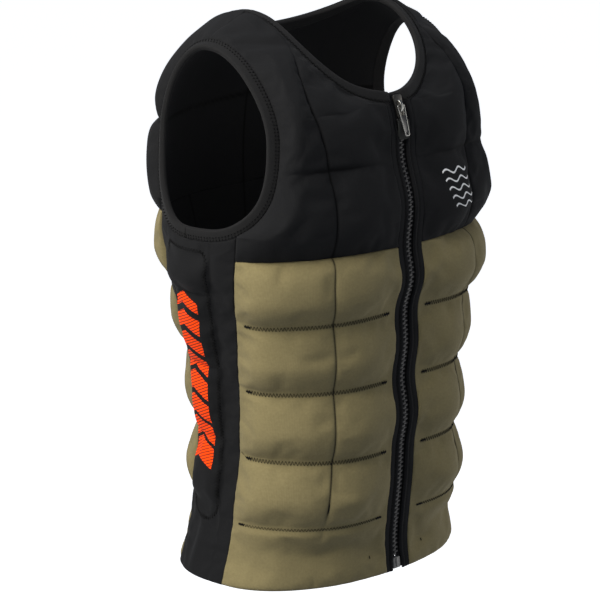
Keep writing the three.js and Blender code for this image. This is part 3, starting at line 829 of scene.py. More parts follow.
@dataclass(frozen=True)
class WaveJersey(Jersey):
    """Black jersey with five short white wave lines."""

    ink: str = "E6E6E4"
    middle: Pair = (0.022, 0.048)
    half_width: float = 0.019
    spacing: float = 0.0088
    swing: float = 0.0022
    length: float = 0.019
    stroke: float = 0.0009

    def colour(self, nodes: Nodes, knit: Socket) -> Socket:
        """Colour of the cloth under its print.

        Args:
            nodes: The material's nodes.
            knit: Height of the knit.

        Returns:
            The colour.
        """
        plain = super().colour(nodes, knit)
        split = nodes.add("SeparateXYZ", {"Vector": nodes.cloth()}).outputs
        x = nodes.math("SUBTRACT", split[0], self.middle[0])
        y = nodes.math("SUBTRACT", split[1], self.middle[1])
        wave = nodes.math("SINE", nodes.math("MULTIPLY", x, 2 * math.pi / self.length))
        level = nodes.math("ADD", y, nodes.math("MULTIPLY", wave, self.swing))
        inside = nodes.math("LESS_THAN", nodes.math("ABSOLUTE", x), self.half_width)
        tall = nodes.math("LESS_THAN", nodes.math("ABSOLUTE", level), 2.5 * self.spacing)
        turn = nodes.math("PINGPONG", nodes.math("ADD", level, 10 * self.spacing), self.spacing / 2)
        line = nodes.math("LESS_THAN", turn, self.stroke)
        mask = nodes.math("MULTIPLY", nodes.math("MULTIPLY", inside, tall), line)
        return nodes.blend(mask, plain, paint(self.ink))


@dataclass(frozen=True)
class WovenTape:
    """Flat woven tape with ribs along its length."""

    name: str
    yarn: str
    shade: str
    rib: float = 0.0011
    roughness: float = 0.8

    def build(self) -> Material:
        """Builds the tape.

        Returns:
            The finished material.
        """
        nodes = Nodes(self.name)
        cloth = nodes.cloth()
        ribs = nodes.bands(cloth, self.rib, "X", 0.3)
        picks = nodes.bands(cloth, self.rib * 0.9, "Y", 0.3)
        crossed = nodes.math("MULTIPLY", ribs, picks)
        weave = nodes.math("MULTIPLY_ADD", nodes.noise(cloth, 500, 3), 0.5, crossed)
        surface = {
            "Base Color": nodes.blend(weave, paint(self.shade), paint(self.yarn)),
            "Roughness": self.roughness,
            "Sheen Weight": 0.03,
            "Sheen Roughness": 0.4,
            "Specular IOR Level": 0.08,
        }
        return nodes.finish(surface, weave, 0.4, 0.0003)


@dataclass(frozen=True)
class Thread:
    """Twisted sewing thread."""

    name: str
    yarn: str
    shade: str
    twist: float = 0.0007

    def build(self) -> Material:
        """Builds the thread.

        Returns:
            The finished material.
        """
        nodes = Nodes(self.name)
        twist = nodes.bands(nodes.spot(), self.twist, "DIAGONAL", 0.4)
        surface = {
            "Base Color": nodes.blend(twist, paint(self.shade), paint(self.yarn)),
            "Roughness": 0.8,
            "Specular IOR Level": 0.1,
        }
        return nodes.finish(surface, twist, 0.3, 0.0002)


@dataclass(frozen=True)
class MouldedPlastic:
    """Moulded plastic with a fine grain and scuffed high spots."""

    name: str
    body: str
    scuff: str
    roughness: float = 0.36

    def build(self) -> Material:
        """Builds the plastic.

        Returns:
            The finished material.
        """
        nodes = Nodes(self.name)
        spot = nodes.spot()
        grain, wear = nodes.noise(spot, 2200, 2), nodes.noise(spot, 320, 4)
        worn = nodes.math("POWER", wear, 3.0)
        surface = {
            "Base Color": nodes.blend(worn, paint(self.body), paint(self.scuff)),
            "Roughness": nodes.math("MULTIPLY_ADD", wear, 0.25, self.roughness - 0.1),
        }
        return nodes.finish(surface, grain, 0.12, 0.0002)


@dataclass(frozen=True)
class PlatedMetal:
    """Die-cast metal, plated or lacquered, with brushed marks."""

    name: str
    face: str
    mark: str
    metallic: float = 1.0
    roughness: float = 0.28

    def build(self) -> Material:
        """Builds the metal.

        Returns:
            The finished material.
        """
        nodes = Nodes(self.name)
        stretched = nodes.add("Mapping", {"Vector": nodes.spot(), "Scale": (1.0, 1.0, 0.12)})
        marks = nodes.noise(stretched.outputs[0], 1800, 3)
        surface = {
            "Base Color": nodes.blend(marks, paint(self.mark), paint(self.face)),
            "Metallic": self.metallic,
            "Roughness": nodes.math("MULTIPLY_ADD", marks, 0.2, self.roughness - 0.1),
        }
        return nodes.finish(surface, marks, 0.08, 0.0001)


@dataclass(frozen=True)
class PaleFloor:
    """Plain pale studio floor."""

    name: str = "pale_floor"
    tone: str = "F4F4F3"
    glow: float = 0.8

    def build(self) -> Material:
        """Builds the floor.

        Returns:
            The finished material.
        """
        nodes = Nodes(self.name)
        nodes.put(nodes.shader, {
            "Base Color": paint(self.tone),
            "Roughness": 0.7,
            "Specular IOR Level": 0.1,
            "Emission Color": (1, 1, 1, 1),
            "Emission Strength": self.glow,
        })
        return nodes.material


class Finishes:
    """Every finish of the vest, built once."""

    def __init__(self) -> None:
        """Builds the materials."""
        # The seam colours are painted shade for the seams' folds and creases.
        olive = {"yarn": "897E59", "shade": "5F573C", "seam": "14120C"}
        black = {"yarn": "1F1F20", "shade": "131415", "seam": "030303"}
        black |= {"sheen": 0.02, "gloss": 0.04}
        self.olive = Jersey("olive_jersey", **olive, sheen=0.05, gloss=0.1).build()
        self.black = Jersey("black_jersey", **black).build()
        self.chevrons = ChevronJersey("chevron_jersey", **black).build()
        self.waves = WaveJersey("wave_jersey", **black).build()
        self.binding = WovenTape("edge_binding", "212121", "121213").build()
        self.garage = WovenTape("garage_tape", "323330", "1F201E").build()
        self.tape = WovenTape("zip_tape", "1B1B1C", "0A0A0B", rib=0.0008).build()
        self.thread = Thread("black_thread", "0C0C0C", "030303").build()
        self.teeth = MouldedPlastic("zip_teeth", "101011", "2E2E2E", 0.5).build()
        self.plastic = MouldedPlastic("zip_box_plastic", "3A3A39", "6A6A68").build()
        self.slider = PlatedMetal("slider_lacquer", "54524D", "2C2B29", 0.8, 0.32).build()
        self.pull = PlatedMetal("pull_plating", "A5A5A0", "6E6E6A").build()
        self.enamel = MouldedPlastic("pull_enamel", "0C0C0D", "2A2A2A", 0.3).build()


@dataclass(kw_only=True)
class SewnPiece:
    """A piece of cloth over the torso, as a sheet of cells with an outer and an inner face."""

    pattern: VestPattern
    finish: Material
    name: str
    lining: Material | None = None
    side: Side = Side.MIDDLE
    slot: Slot = Slot.BLACK
    cell: float = 4.0
    lines: Table = (0, 0.2, 0.4, 0.6, 0.8, 1)

    def __post_init__(self) -> None:
        """Works out the sheet's places and its two faces."""
        across, self.up = np.meshgrid(self.columns(), self.rows())
        self.across = across[:, ::-1] if self.side is Side.LEFT else across
        angle, self.rise = self.place()
        self.angle = 540 - angle if self.side is Side.LEFT else angle
        torso = self.pattern.torso
        self.outer = torso.on(self.angle, self.rise, self.over())
        self.inner = torso.on(self.angle, self.rise, self.under())

    def columns(self) -> Array:
        """Rising positions across the sheet."""
        return np.array(self.lines)

    def rows(self) -> Array:
        """Rising positions up the sheet."""
        raise NotImplementedError

    def place(self) -> Places:
        """Angles and rises of the sheet's points, as on the wearer's right."""
        raise NotImplementedError

    def over(self) -> Array:
        """Lifts of the outer face."""
        raise NotImplementedError

    def under(self) -> Array:
        """Lifts of the inner face."""
        return np.zeros_like(self.across)

    def sewn(self) -> Array:
        """Closeness to sewn lines, between 0 and 1: how much painted shade the cloth takes there.
        """
        return np.zeros_like(self.across)

    def run(self, axis: Axis) -> Array:
        """Length along the inner face, upwards from its foot or across from its middle.

        Args:
            axis: Way to measure.

        Returns:
            Lengths in metres.
        """
        steps = np.linalg.norm(np.diff(self.inner, axis=axis.value), axis=2)
        lengths = np.cumsum(steps, axis=axis.value)
        if axis is Axis.UP:
            return np.vstack([np.zeros((1, lengths.shape[1])), lengths])
        lengths = np.hstack([np.zeros((lengths.shape[0], 1)), lengths])
        return lengths - lengths[:, -1:] / 2

    def spots(self, across: Array, up: Array) -> tuple[Array, Array]:
        """Points of the finished outer face and their outward directions.

        Args:
            across: Positions across the sheet, as on the wearer's right.
            up: Positions up the sheet.

        Returns:
            Points in metres, and unit vectors.
        """
        columns, rows = self.columns(), self.rows()
        c = np.interp(across, columns, np.arange(len(columns)))
        r = np.interp(up, rows, np.arange(len(rows)))
        c = len(columns) - 1 - c if self.side is Side.LEFT else c
        face = self.outer.copy()
        face[1:-1] = (self.outer[:-2] + 4 * self.outer[1:-1] + self.outer[2:]) / 6
        face[:, 1:-1] = (face[:, :-2] + 4 * face[:, 1:-1] + face[:, 2:]) / 6
        out = unit(np.cross(np.gradient(face, axis=1), np.gradient(face, axis=0)))
        i = np.minimum(r.astype(int), len(rows) - 2)
        j = np.minimum(c.astype(int), len(columns) - 2)
        a, b = (r - i)[..., None], (c - j)[..., None]

        def mixed(values: Array) -> Array:
            """Values between the four nearest points."""
            low = lerp(values[i, j], values[i, j + 1], b)
            return lerp(low, lerp(values[i + 1, j], values[i + 1, j + 1], b), a)

        return mixed(face), unit(mixed(out))

    def build(self) -> Object:
        """Closed piece with its cloth coordinates, dressed and handed over.

        Returns:
            The piece.
        """
        rows, columns = self.across.shape
        bm = bmesh.new()
        bmesh.ops.create_grid(bm, x_segments=columns - 1, y_segments=rows - 1, size=0.5)
        grown = bmesh.ops.extrude_face_region(bm, geom=bm.faces[:])
        for vert in (item for item in grown["geom"] if isinstance(item, bmesh.types.BMVert)):
            vert.co.z = 1
        for face in bm.faces:
            face.material_index = int(all(vert.co.z < 0.5 for vert in face.verts))
        mirror = -1.0 if self.side is Side.LEFT else 1.0
        across = mirror * self.run(Axis.ACROSS)
        cloth = np.dstack([across, self.run(Axis.UP), np.zeros_like(across)])
        # The sewn values are painted seam shade, carried to the material as the sewn attribute.
        sewn = self.sewn()
        cloth_layer = bm.verts.layers.float_vector.new("cloth")
        seam_shade_layer = bm.verts.layers.float.new("sewn")
        for vert, spot in zip(bm.verts, grid_cells(bm, rows, columns)):
            vert[cloth_layer] = cloth[spot]
            vert[seam_shade_layer] = sewn[spot]
            vert.co = (self.outer if vert.co.z > 0.5 else self.inner)[spot]
        bmesh.ops.recalc_face_normals(bm, faces=bm.faces)
        obj = new_object(self.name, bm, [self.finish, self.lining or self.finish])
        smooth = obj.modifiers.new("smooth", "SUBSURF")
        smooth.levels = smooth.render_levels = 1
        self.dress(obj)
        return obj

    def dress(self, obj: Object) -> None:
        """Hands the finished piece over."""
        hand_over(obj, [self.name.removesuffix("_cloth")])


@dataclass(kw_only=True)
class QuiltedPanel(SewnPiece):
    """A padded panel, held at its sewn lines and swollen by the foam between them."""

    foam: float = 14
    ripple: float = 0.5
    hem_fold: float = 1.6
    hem_turns: float = 9.5
    hem_start: float = 0.6

    def foam_share(self) -> Array:
        """Share of the foam's full thickness at each point."""
        raise NotImplementedError

    def base(self) -> Array:
        """Lifts of the cloth without foam."""
        return np.full_like(self.across, SEAM_LIFT)

    def over(self) -> Array:
        """Lifts of the outer face before it swells."""
        share = self.foam_share()
        return self.base() + share * (self.foam + self.ripple * ripples(self.angle, self.rise))

    def hem_folds(self, first_row: float) -> Array:
        """Soft folds of the hem, which die out at the first sewn row."""
        wave = np.sin(self.across * self.hem_turns + self.hem_start)
        return self.hem_fold * wave * (1 - ease(self.rise, 0, first_row))

    def quilting(self) -> Array:
        """Closeness to the lines that the panel is quilted along."""
        return self.sewn()

    def held(self) -> Array:
        """Where the panel is held while it swells: its borders and sewn lines.

        Returns:
            1 where held, 0 elsewhere.
        """
        held = np.where(self.quilting() > 0.4, 1.0, 0.0)
        held[[0, -1]] = 1
        held[:, [0, -1]] = 1
        return held

    def dress(self, obj: Object) -> None:
        """Hands the finished panel over."""
        super().dress(obj)


@dataclass(frozen=True)
class Inflation:
    """Cloth run that swells all the panels at once between their sewn lines."""

    pressure: float = 4.0
    frames: int = 20
    cap: float = 3.5
    growth: float = 0.03

    def sheet(self, panel: QuiltedPanel) -> Object:
        """Open sheet of a panel's outer face, ready to swell.

        Args:
            panel: The panel.

        Returns:
            The sheet, with its cloth settings.
        """
        rows, columns = panel.across.shape
        bm = bmesh.new()
        bmesh.ops.create_grid(bm, x_segments=columns - 1, y_segments=rows - 1, size=0.5)
        order = grid_cells(bm, rows, columns)
        for vert, spot in zip(bm.verts, order):
            vert.co = panel.outer[spot]
        obj = new_object(f"{panel.name}_swelling", bm, [])
        held, foam = panel.held(), panel.foam_share()
        pins, puffs = obj.vertex_groups.new(name="held"), obj.vertex_groups.new(name="foam")
        for index, spot in enumerate(order):
            pins.add([index], float(held[spot]), "REPLACE")
            puffs.add([index], float(foam[spot]), "REPLACE")
        cloth = obj.modifiers.new("cloth", "CLOTH")
        settings = cloth.settings
        settings.quality = 6
        settings.mass = 0.3
        settings.tension_stiffness = settings.compression_stiffness = 18
        settings.shear_stiffness = 8
        settings.bending_stiffness = 0.6
        settings.air_damping = 3
        settings.shrink_min = -self.growth
        settings.use_pressure = True
        settings.uniform_pressure_force = self.pressure
        settings.vertex_group_pressure = "foam"
        settings.vertex_group_mass = "held"
        settings.effector_weights.gravity = 0
        cloth.collision_settings.use_collision = False
        cloth.point_cache.frame_start = 1
        cloth.point_cache.frame_end = self.frames
        return obj

    def swell(self, panels: Sequence[QuiltedPanel]) -> None:
        """Runs the cloth and moves the panels' outer faces by its result, up to the cap.

        Args:
            panels: Panels to swell.
        """
        sheets = [self.sheet(panel) for panel in panels]
        for step in range(1, self.frames + 1):
            bpy.context.scene.frame_set(step)
        shapes = bpy.context.evaluated_depsgraph_get()
        for panel, obj in zip(panels, sheets):
            mesh = obj.evaluated_get(shapes).to_mesh()
            points = np.empty(len(mesh.vertices) * 3)
            mesh.vertices.foreach_get("co", points)
            moved = points.reshape(panel.outer.shape) - panel.outer
            length = np.linalg.norm(moved, axis=2, keepdims=True)
            log.info("%s swells by %.1f mm at most", panel.name, length.max() / MM)
            limit = self.cap * MM
            share = limit * np.tanh(length / limit) / np.maximum(length, 1e-9)
            panel.outer = panel.outer + moved * share
            obj.evaluated_get(shapes).to_mesh_clear()
        for obj in sheets:
            bpy.data.objects.remove(obj)
        bpy.context.scene.frame_set(1)


@dataclass(kw_only=True)
class FrontBody(QuiltedPanel):
    """Lower front panel: two columns of four pads above a plain hem."""

    slot: Slot = Slot.OLIVE
    foam: float = 18
    ripple: float = 0.25
    bevel: float = 38
    width: float = 150
    column: float = 0.56
    blend: float = 0.3
    stitched: Pair = (0.08, 0.93)
    column_foot: float = 82

    def columns(self) -> Array:
        """Rising positions across the panel, from its side seam to the zip."""
        return graded((0, self.column, 1), self.cell / self.width, groove=1.3 / self.width)

    def rows(self) -> Array:
        """Rising heights."""
        return graded((HEM, *FRONT_ROWS[:-1], FRONT_YOKE + LAP / 2), self.cell, groove=3.0)

    def place(self) -> Places:
        """Angles and rises of the panel's points.

        Returns:
            Angles and rises.
        """
        pattern = self.pattern
        start = pattern.seam(pattern.side_front, self.up) + pattern.gap_angle(self.up)
        end = pattern.front_angle(pattern.zip_edge - LAP / 2, self.up)
        line = cubic(pattern.column_heights, pattern.front_column, self.up)
        share = split(self.across, self.column, (line - start) / (end - start))
        return lerp(start, end, share), self.up

    def row_hold(self) -> Array:
        """How far across the panel its rows are stitched."""
        low, high = self.stitched
        return ease(self.across, low - 0.06, low) * (1 - ease(self.across, high, high + 0.07))

    def foam_share(self) -> Array:
        """Share of the foam's full thickness.

        Returns:
            Shares between 0 and 1.
        """
        rows = pad_rows(self.rise, FRONT_ROWS)
        body = ease(self.rise, FRONT_ROWS[0] - 30, FRONT_ROWS[0] - 3)
        body = body * swell(FRONT_YOKE - self.rise, reach=16)
        tied = 0.42 + 0.1 * near(self.across, (self.column,), reach=34 / self.width)
        floor = lerp(0.55, tied, self.row_hold()) * body
        side = np.sin(math.pi / 2 * np.clip(self.across * self.width / self.bevel, 0, 1))
        column = lerp(0.86, 1, swell(np.abs(self.across - self.column) * self.width, reach=16))
        return lerp(floor, 1, rows) * side * column * ease(1 - self.across, 0, self.blend)

    def base(self) -> Array:
        """Lifts of the cloth without foam, with soft folds in the hem.

        Returns:
            Lifts in millimetres.
        """
        plain = plain_lift(self.rise, FRONT_ROWS[0])
        folds = self.hem_folds(FRONT_ROWS[0])
        edge = self.pattern.zip_edge_lift(self.rise)
        side = self.pattern.side_seam_lift(self.rise)
        plain = lerp(side, plain + folds, ease(self.across * self.width, 0, 24))
        return lerp(edge, plain, ease(1 - self.across, 0, self.blend))

    def sewn(self) -> Array:
        """Closeness to the column's seam, which also sets the painted shadow in its groove."""
        column = near(self.across, (self.column,), reach=1.5 / self.width)
        return 0.9 * column * ease(self.rise, self.column_foot - 8, self.column_foot)

    def quilting(self) -> Array:
        """Closeness to the stitched rows and the column's seam."""
        rows = near(self.rise, FRONT_ROWS[:-1], reach=6.5) * self.row_hold()
        return np.maximum(rows, self.sewn())


@dataclass(kw_only=True)
class FrontChest(QuiltedPanel):
    """Chest panel from the yoke seam to the shoulder: 0 to 1 up its lower pads, 1 to 2 above."""

    width: float = 130
    column: float = 0.56
    blend: float = 0.3
    pit: float = 1.26
    lower: float = 85
    upper: float = 185
    fold: float = 1.8
    fold_middle: float = 0.22
    fold_width: float = 0.06
    fold_foot: Pair = (0.2, 0.4)
    fold_head: Pair = (0.75, 0.95)
    column_rises: Table = (345, 395, 431, 465, 487, 515, 535, 552, 620)
    column_angles: Table = (238, 239.1, 238.4, 236.8, 235.4, 236.5, 238.4, 239.4, 239.4)

    def columns(self) -> Array:
        """Rising positions across the panel, from its side to the zip and neck."""
        return graded((0, self.column, 1), self.cell / self.width, groove=1.5 / self.width)

    def rows(self) -> Array:
        """Rising positions up the panel.

        Returns:
            Positions from 0 to 2.
        """
        corner = self.corner()
        low = graded((0, corner, 1), self.cell / self.lower, groove=1.6 / self.lower)
        high = graded((1, self.pit, 2), self.cell / self.upper, groove=1.2 / self.upper)
        return np.concatenate([low, high[1:]])

    def corner(self) -> float:
        """Where the panel's side seam reaches the armhole.

        Returns:
            Position up the panel.
        """
        foot = FRONT_YOKE - LAP / 2
        _, rise = self.pattern.along(self.pattern.arm_line, self.pattern.front_meeting)
        return float((rise - foot) / (CHEST_SEAM - foot))

    def side_rise(self) -> Array:
        """Rise of the panel's outer edge."""
        high = lerp(CHEST_SEAM, self.pattern.torso.ridge_rise, self.up - 1)
        return np.where(self.up < 1, lerp(FRONT_YOKE - LAP / 2, CHEST_SEAM, self.up), high)

    def outer_edge(self) -> Places:
        """Places along the side seam and then the armhole.

        Returns:
            Angles and rises.
        """
        pattern, rise = self.pattern, self.side_rise()
        arm_angle, arm_rise = pattern.along(pattern.arm_line, pattern.front_position(rise))
        low = self.up <= self.corner()
        seam_angle = pattern.seam(pattern.side_front, rise) + pattern.gap_angle(rise)
        return np.where(low, seam_angle, arm_angle), np.where(low, rise, arm_rise)

    def inner_edge(self) -> Places:
        """Places along the zip and then the neckline.

        Returns:
            Angles and rises.
        """
        pattern = self.pattern
        margin = pattern.neck_binding - LAP
        turn = pattern.zip_turn(margin)
        foot = pattern.neckline(turn, margin)[1]
        upper = lerp(CHEST_SEAM, foot, (self.up - 1) / (self.pit - 1))
        rise = np.where(self.up < 1, self.side_rise(), upper)
        share = np.clip((self.up - self.pit) / (2 - self.pit), 0, 1)
        neck_angle, neck_rise = pattern.neckline(lerp(turn, 90, share), margin)
        neck_rise = np.minimum(neck_rise, pattern.torso.ridge_rise)
        low = self.up <= self.pit
        angle = np.where(low, pattern.front_angle(pattern.zip_edge - LAP / 2, rise), neck_angle)
        return angle, np.where(low, rise, neck_rise)

    def place(self) -> Places:
        """Angles and rises of the panel's points, with its seam on its own line.

        Returns:
            Angles and rises.
        """
        start, end = self.outer_edge(), self.inner_edge()
        line = np.full_like(self.up, self.column)
        for _ in range(8):
            angle = cubic(self.column_rises, self.column_angles, lerp(start[1], end[1], line))
            line = np.clip((angle - start[0]) / (end[0] - start[0]), 0.15, 0.98)
        share = split(self.across, self.column, line)
        lap = SHOULDER_LAP * ease(self.up, 1.94, 2)
        return lerp(start[0], end[0], share), lerp(start[1], end[1], share) + lap

    def foam_share(self) -> Array:
        """Share of the foam's full thickness.

        Returns:
            Shares between 0 and 1.
        """
        lower = pad_rows(self.up * self.lower, (0, self.lower), crest=0.42, floor=1.6)
        upper = swell((self.up - 1) * self.upper, reach=42)
        shoulder = np.clip((2 - self.up) / 0.7, 0.25, 1)
        tied = lerp(0.8, 0.45, near(self.across, (0.52,), reach=0.4))
        pads = lerp(np.where(self.up > 0.42, tied, 0), 1, np.where(self.up < 1, lower, upper))
        side = lerp(0.06, 1, swell(self.across, reach=0.25))
        middle = lerp(0.66, 1, swell(np.abs(self.across - self.column), reach=0.16))
        return pads * side * middle * shoulder * ease(1 - self.across, 0, self.blend)

    def base(self) -> Array:
        """Lifts of the cloth without foam, with a soft fold below the armhole.

        Returns:
            Lifts in millimetres.
        """
        x = self.pattern.torso.bare(*self.inner_edge())[..., 0]
        zip_edge, neck = self.pattern.zip_edge_lift(self.rise), self.pattern.neck_lift(x)
        edge = np.where(self.up < self.pit, zip_edge, neck)
        fold = self.fold * bump(self.across, self.fold_middle, self.fold_width)
        fold = fold * ease(self.up, *self.fold_foot) * (1 - ease(self.up, *self.fold_head))
        return lerp(edge, SEAM_LIFT + fold, ease(1 - self.across, 0, self.blend))

    def sewn(self) -> Array:
        """Closeness to the seams between the pads, as painted shade in their folds, faint towards
        the ends of the seam across.

        Returns:
            Shares between 0 and 1.
        """
        rows = near(self.up, (1,), reach=1.7 / self.lower) * near(self.across, (0.55,), reach=0.42)
        column = near(self.across, (self.column,), reach=1.7 / self.width)
        return np.maximum(0.75 * rows, 0.9 * column)

    def quilting(self) -> Array:
        """Closeness to the seams between the pads."""
        column = near(self.across, (self.column,), reach=1.7 / self.width)
        return np.maximum(near(self.up, (1,), reach=1.7 / self.lower), column)


@dataclass(kw_only=True)
class SidePanel(QuiltedPanel):
    """Side panel from the hem to the armhole, with a padded pocket."""

    foam: float = 9
    width: float = 108
    pocket_rows: Table = (62, 147, 225, 308, 350)
    margin: float = 24

    def columns(self) -> Array:
        """Rising positions across the panel, from the back seam to the front seam."""
        share = self.margin / self.width
        return graded((0, share, 1 - share, 1), self.cell / self.width, groove=1.6 / self.width)

    def rows(self) -> Array:
        """Rising positions up the panel.

        Returns:
            Shares of the way up.
        """
        pattern = self.pattern
        middle = (pattern.back_meeting + pattern.front_meeting) / 2
        top = float(pattern.along(pattern.arm_line, middle)[1])
        return (graded((HEM, *self.pocket_rows, top), self.cell, groove=1.8) - HEM) / (top - HEM)

    def place(self) -> Places:
        """Angles and rises of the panel's points.

        Returns:
            Angles and rises.
        """
        pattern = self.pattern

        def straight(rise: Array) -> Array:
            """Angle straight across between the seams."""
            ends = (pattern.seam(seam, rise) for seam in (pattern.side_back, pattern.side_front))
            return lerp(*ends, self.across) + pattern.gap_angle(rise) * (1 - 2 * self.across)

        position = lerp(pattern.back_meeting, pattern.front_meeting, self.across)
        top_angle, top_rise = pattern.along(pattern.arm_line, position)
        inset = pattern.gap_angle(top_rise) * (1 - 2 * self.across)
        rise = lerp(HEM, top_rise, self.up)
        return straight(rise) + (top_angle + inset - straight(top_rise)) * self.up**4, rise

    def foam_share(self) -> Array:
        """Share of the foam's full thickness.

        Returns:
            Shares between 0 and 1.
        """
        inside = np.minimum(self.across, 1 - self.across) * self.width - self.margin
        rows = pad_rows(self.rise, self.pocket_rows, crest=0.45, floor=1.8)
        foot = self.pocket_rows[0]
        body = ease(self.rise, foot, foot + 30) * (1 - ease(self.rise, 326, 366))
        return swell(inside, reach=20) * lerp(0.45, 1, rows) * body

    def base(self) -> Array:
        """Lifts of the cloth without foam.

        Returns:
            Lifts in millimetres.
        """
        plain = plain_lift(self.rise, self.pocket_rows[0])
        edge = ease((1 - self.across) * self.width, 0, self.margin)
        return lerp(self.pattern.side_seam_lift(self.rise), plain, edge)

    def creases(self) -> Array:
        """Closeness to the pocket's creases.

        Returns:
            Shares between 0 and 1.
        """
        share = self.margin / self.width
        between = ease(np.minimum(self.across, 1 - self.across), share, share + 0.12)
        return near(self.rise, self.pocket_rows[1:-1], reach=2.4) * between

    def sewn(self) -> Array:
        """Closeness to the pocket's creases, as faint lines of painted shade in their folds."""
        return 0.4 * self.creases()

    def quilting(self) -> Array:
        """Closeness to the pocket's outline and its creases."""
        edges = self.margin / self.width, 1 - self.margin / self.width
        return np.maximum(near(self.across, edges, reach=1.8 / self.width), self.creases())


@dataclass(kw_only=True)
class BackBody(QuiltedPanel):
    """Lower back panel: four columns of pads above a plain hem."""

    slot: Slot = Slot.OLIVE
    foam: float = 14
    hem_turns: float = 21
    hem_start: float = 0.4
    width: float = 270
    stops: Table = (0, 0.26, 0.5, 0.74, 1)

    def columns(self) -> Array:
        """Rising positions across the panel, from the wearer's left to the right."""
        return graded(self.stops, self.cell / self.width, groove=1.3 / self.width)

    def rows(self) -> Array:
        """Rising heights."""
        return graded((HEM, *BACK_ROWS[:-1], BACK_YOKE + LAP / 2), self.cell, groove=3.0)

    def place(self) -> Places:
        """Angles and rises of the panel's points."""
        seam = self.pattern.seam(self.pattern.side_back, self.up) - self.pattern.gap_angle(self.up)
        return lerp(180 - seam, seam, self.across), self.up

    def foam_share(self) -> Array:
        """Share of the foam's full thickness.

        Returns:
            Shares between 0 and 1.
        """
        edge = np.minimum(self.across, 1 - self.across) * self.width
        side = lerp(0.3, 1, swell(edge, reach=30))
        nearest = np.min([np.abs(self.across - stop) for stop in self.stops[1:-1]], axis=0)
        column = lerp(0.74, 1, swell(nearest * self.width, reach=20))
        floor = 0.2 * ease(self.rise, BACK_ROWS[0], BACK_ROWS[0] + 20)
        rows = lerp(floor, 1, pad_rows(self.rise, BACK_ROWS))
        return rows * side * column * swell(BACK_YOKE - self.rise, reach=14)

    def base(self) -> Array:
        """Lifts of the cloth without foam, with soft folds in the hem.

        Returns:
            Lifts in millimetres.
        """
        folds = self.hem_folds(BACK_ROWS[0])
        inside = ease(0.5 - np.abs(self.across - 0.5), 0, 0.06)
        return plain_lift(self.rise, BACK_ROWS[0]) + folds * inside

    def sewn(self) -> Array:
        """Closeness to the columns' seams, which also sets the painted shadow in their grooves."""
        column = near(self.across, self.stops[1:-1], reach=1.5 / self.width)
        return 0.9 * column * ease(self.rise, BACK_ROWS[0] - 6, BACK_ROWS[0])

    def quilting(self) -> Array:
        """Closeness to the stitched rows and the columns' seams."""
        return np.maximum(near(self.rise, BACK_ROWS[:-1], reach=6.5), self.sewn())


@dataclass(kw_only=True)
class BackYoke(QuiltedPanel):
    """Upper back panel with both shoulder ends, from the wearer's left to the right."""

    width: float = 330
    height: float = 240

    def __post_init__(self) -> None:
        """Works out where the neck lies on the panel's top edge, then the sheet."""
        pattern = self.pattern
        self.margin = pattern.neck_binding - LAP
        self.tip = float(pattern.arm_line[0][-1])
        ridge = 360 - float(pattern.neckline(np.array(90.0), self.margin)[0])
        self.neck_share = (self.tip - ridge) / (2 * self.tip - 180)
        self.top = pattern.torso.ridge_rise
        _, corner = pattern.along(pattern.arm_line, pattern.back_meeting)
        self.corner = float((corner - BACK_YOKE) / (self.top - BACK_YOKE))
        super().__post_init__()

    def columns(self) -> Array:
        """Rising positions across the panel."""
        stops = (0, self.neck_share, 0.5, 1 - self.neck_share, 1)
        return graded(stops, self.cell / self.width, groove=1.5 / self.width)

    def rows(self) -> Array:
        """Rising positions up the panel."""
        seam = (BACK_SEAM - BACK_YOKE) / (self.top - BACK_YOKE)
        return graded((0, self.corner, seam, 1), self.cell / self.height, groove=1.5 / self.height)

    def arm_angle(self, rise: Array) -> Array:
        """Angle of the panel's edge on the wearer's right.

        Args:
            rise: Rises.

        Returns:
            Angles in degrees.
        """
        pattern = self.pattern
        up = (rise - BACK_YOKE) / (self.top - BACK_YOKE)
        position = pattern.back_position(np.minimum(rise, self.top))
        arm, _ = pattern.along(pattern.arm_line, position)
        seam = pattern.seam(pattern.side_back, rise) - pattern.gap_angle(rise)
        return np.where(up > self.corner, arm, seam)

    def top_place(self) -> Places:
        """Places along the panel's top edge: shoulder, back of the neck, shoulder.

        Returns:
            Angles and rises.
        """
        ridge = lerp(180 - self.tip, self.tip, self.across)
        turn = lerp(90, 270, (self.across - self.neck_share) / (1 - 2 * self.neck_share))
        turned = np.clip(np.where(turn > 180, 360 - turn, turn), 90, 180)
        angle, rise = self.pattern.neckline(turned, self.margin)
        angle = np.where(turn > 180, 360 - angle, angle - 180)
        rise = 2 * self.pattern.torso.ridge_rise - rise
        on_ridge = (self.across <= self.neck_share) | (self.across >= 1 - self.neck_share)
        return np.where(on_ridge, ridge, angle), np.where(on_ridge, self.top + SHOULDER_LAP, rise)

    def place(self) -> Places:
        """Angles and rises of the panel's points.

        Returns:
            Angles and rises.
        """
        top_angle, top_rise = self.top_place()
        rise = lerp(BACK_YOKE - LAP / 2, top_rise, self.up)

        def straight(at: Array) -> Array:
            """Angle on the way straight across between the panel's edges."""
            return lerp(180 - self.arm_angle(at), self.arm_angle(at), self.across)

        return straight(rise) + (top_angle - straight(top_rise)) * self.up * self.up, rise

    def foam_share(self) -> Array:
        """Share of the foam's full thickness.

        Returns:
            Shares between 0 and 1.
        """
        seam = swell(np.abs(self.rise - BACK_SEAM), reach=26)
        edge = swell(np.minimum(self.across, 1 - self.across), reach=0.12)
        middle = lerp(0.7, 1, swell(np.abs(self.across - 0.5), reach=0.08))
        shoulder = np.clip((1 - self.up) / 0.5, 0.2, 1)
        return swell(self.up, reach=0.25) * seam * edge * middle * shoulder

    def sewn(self) -> Array:
        """Closeness to the seam across the shoulder blades and the middle seam, as painted shade in
        their folds.
        """
        middle = near(self.across, (0.5,), reach=1.7 / self.width)
        return np.maximum(near(self.rise, (BACK_SEAM,), reach=2.2), middle)


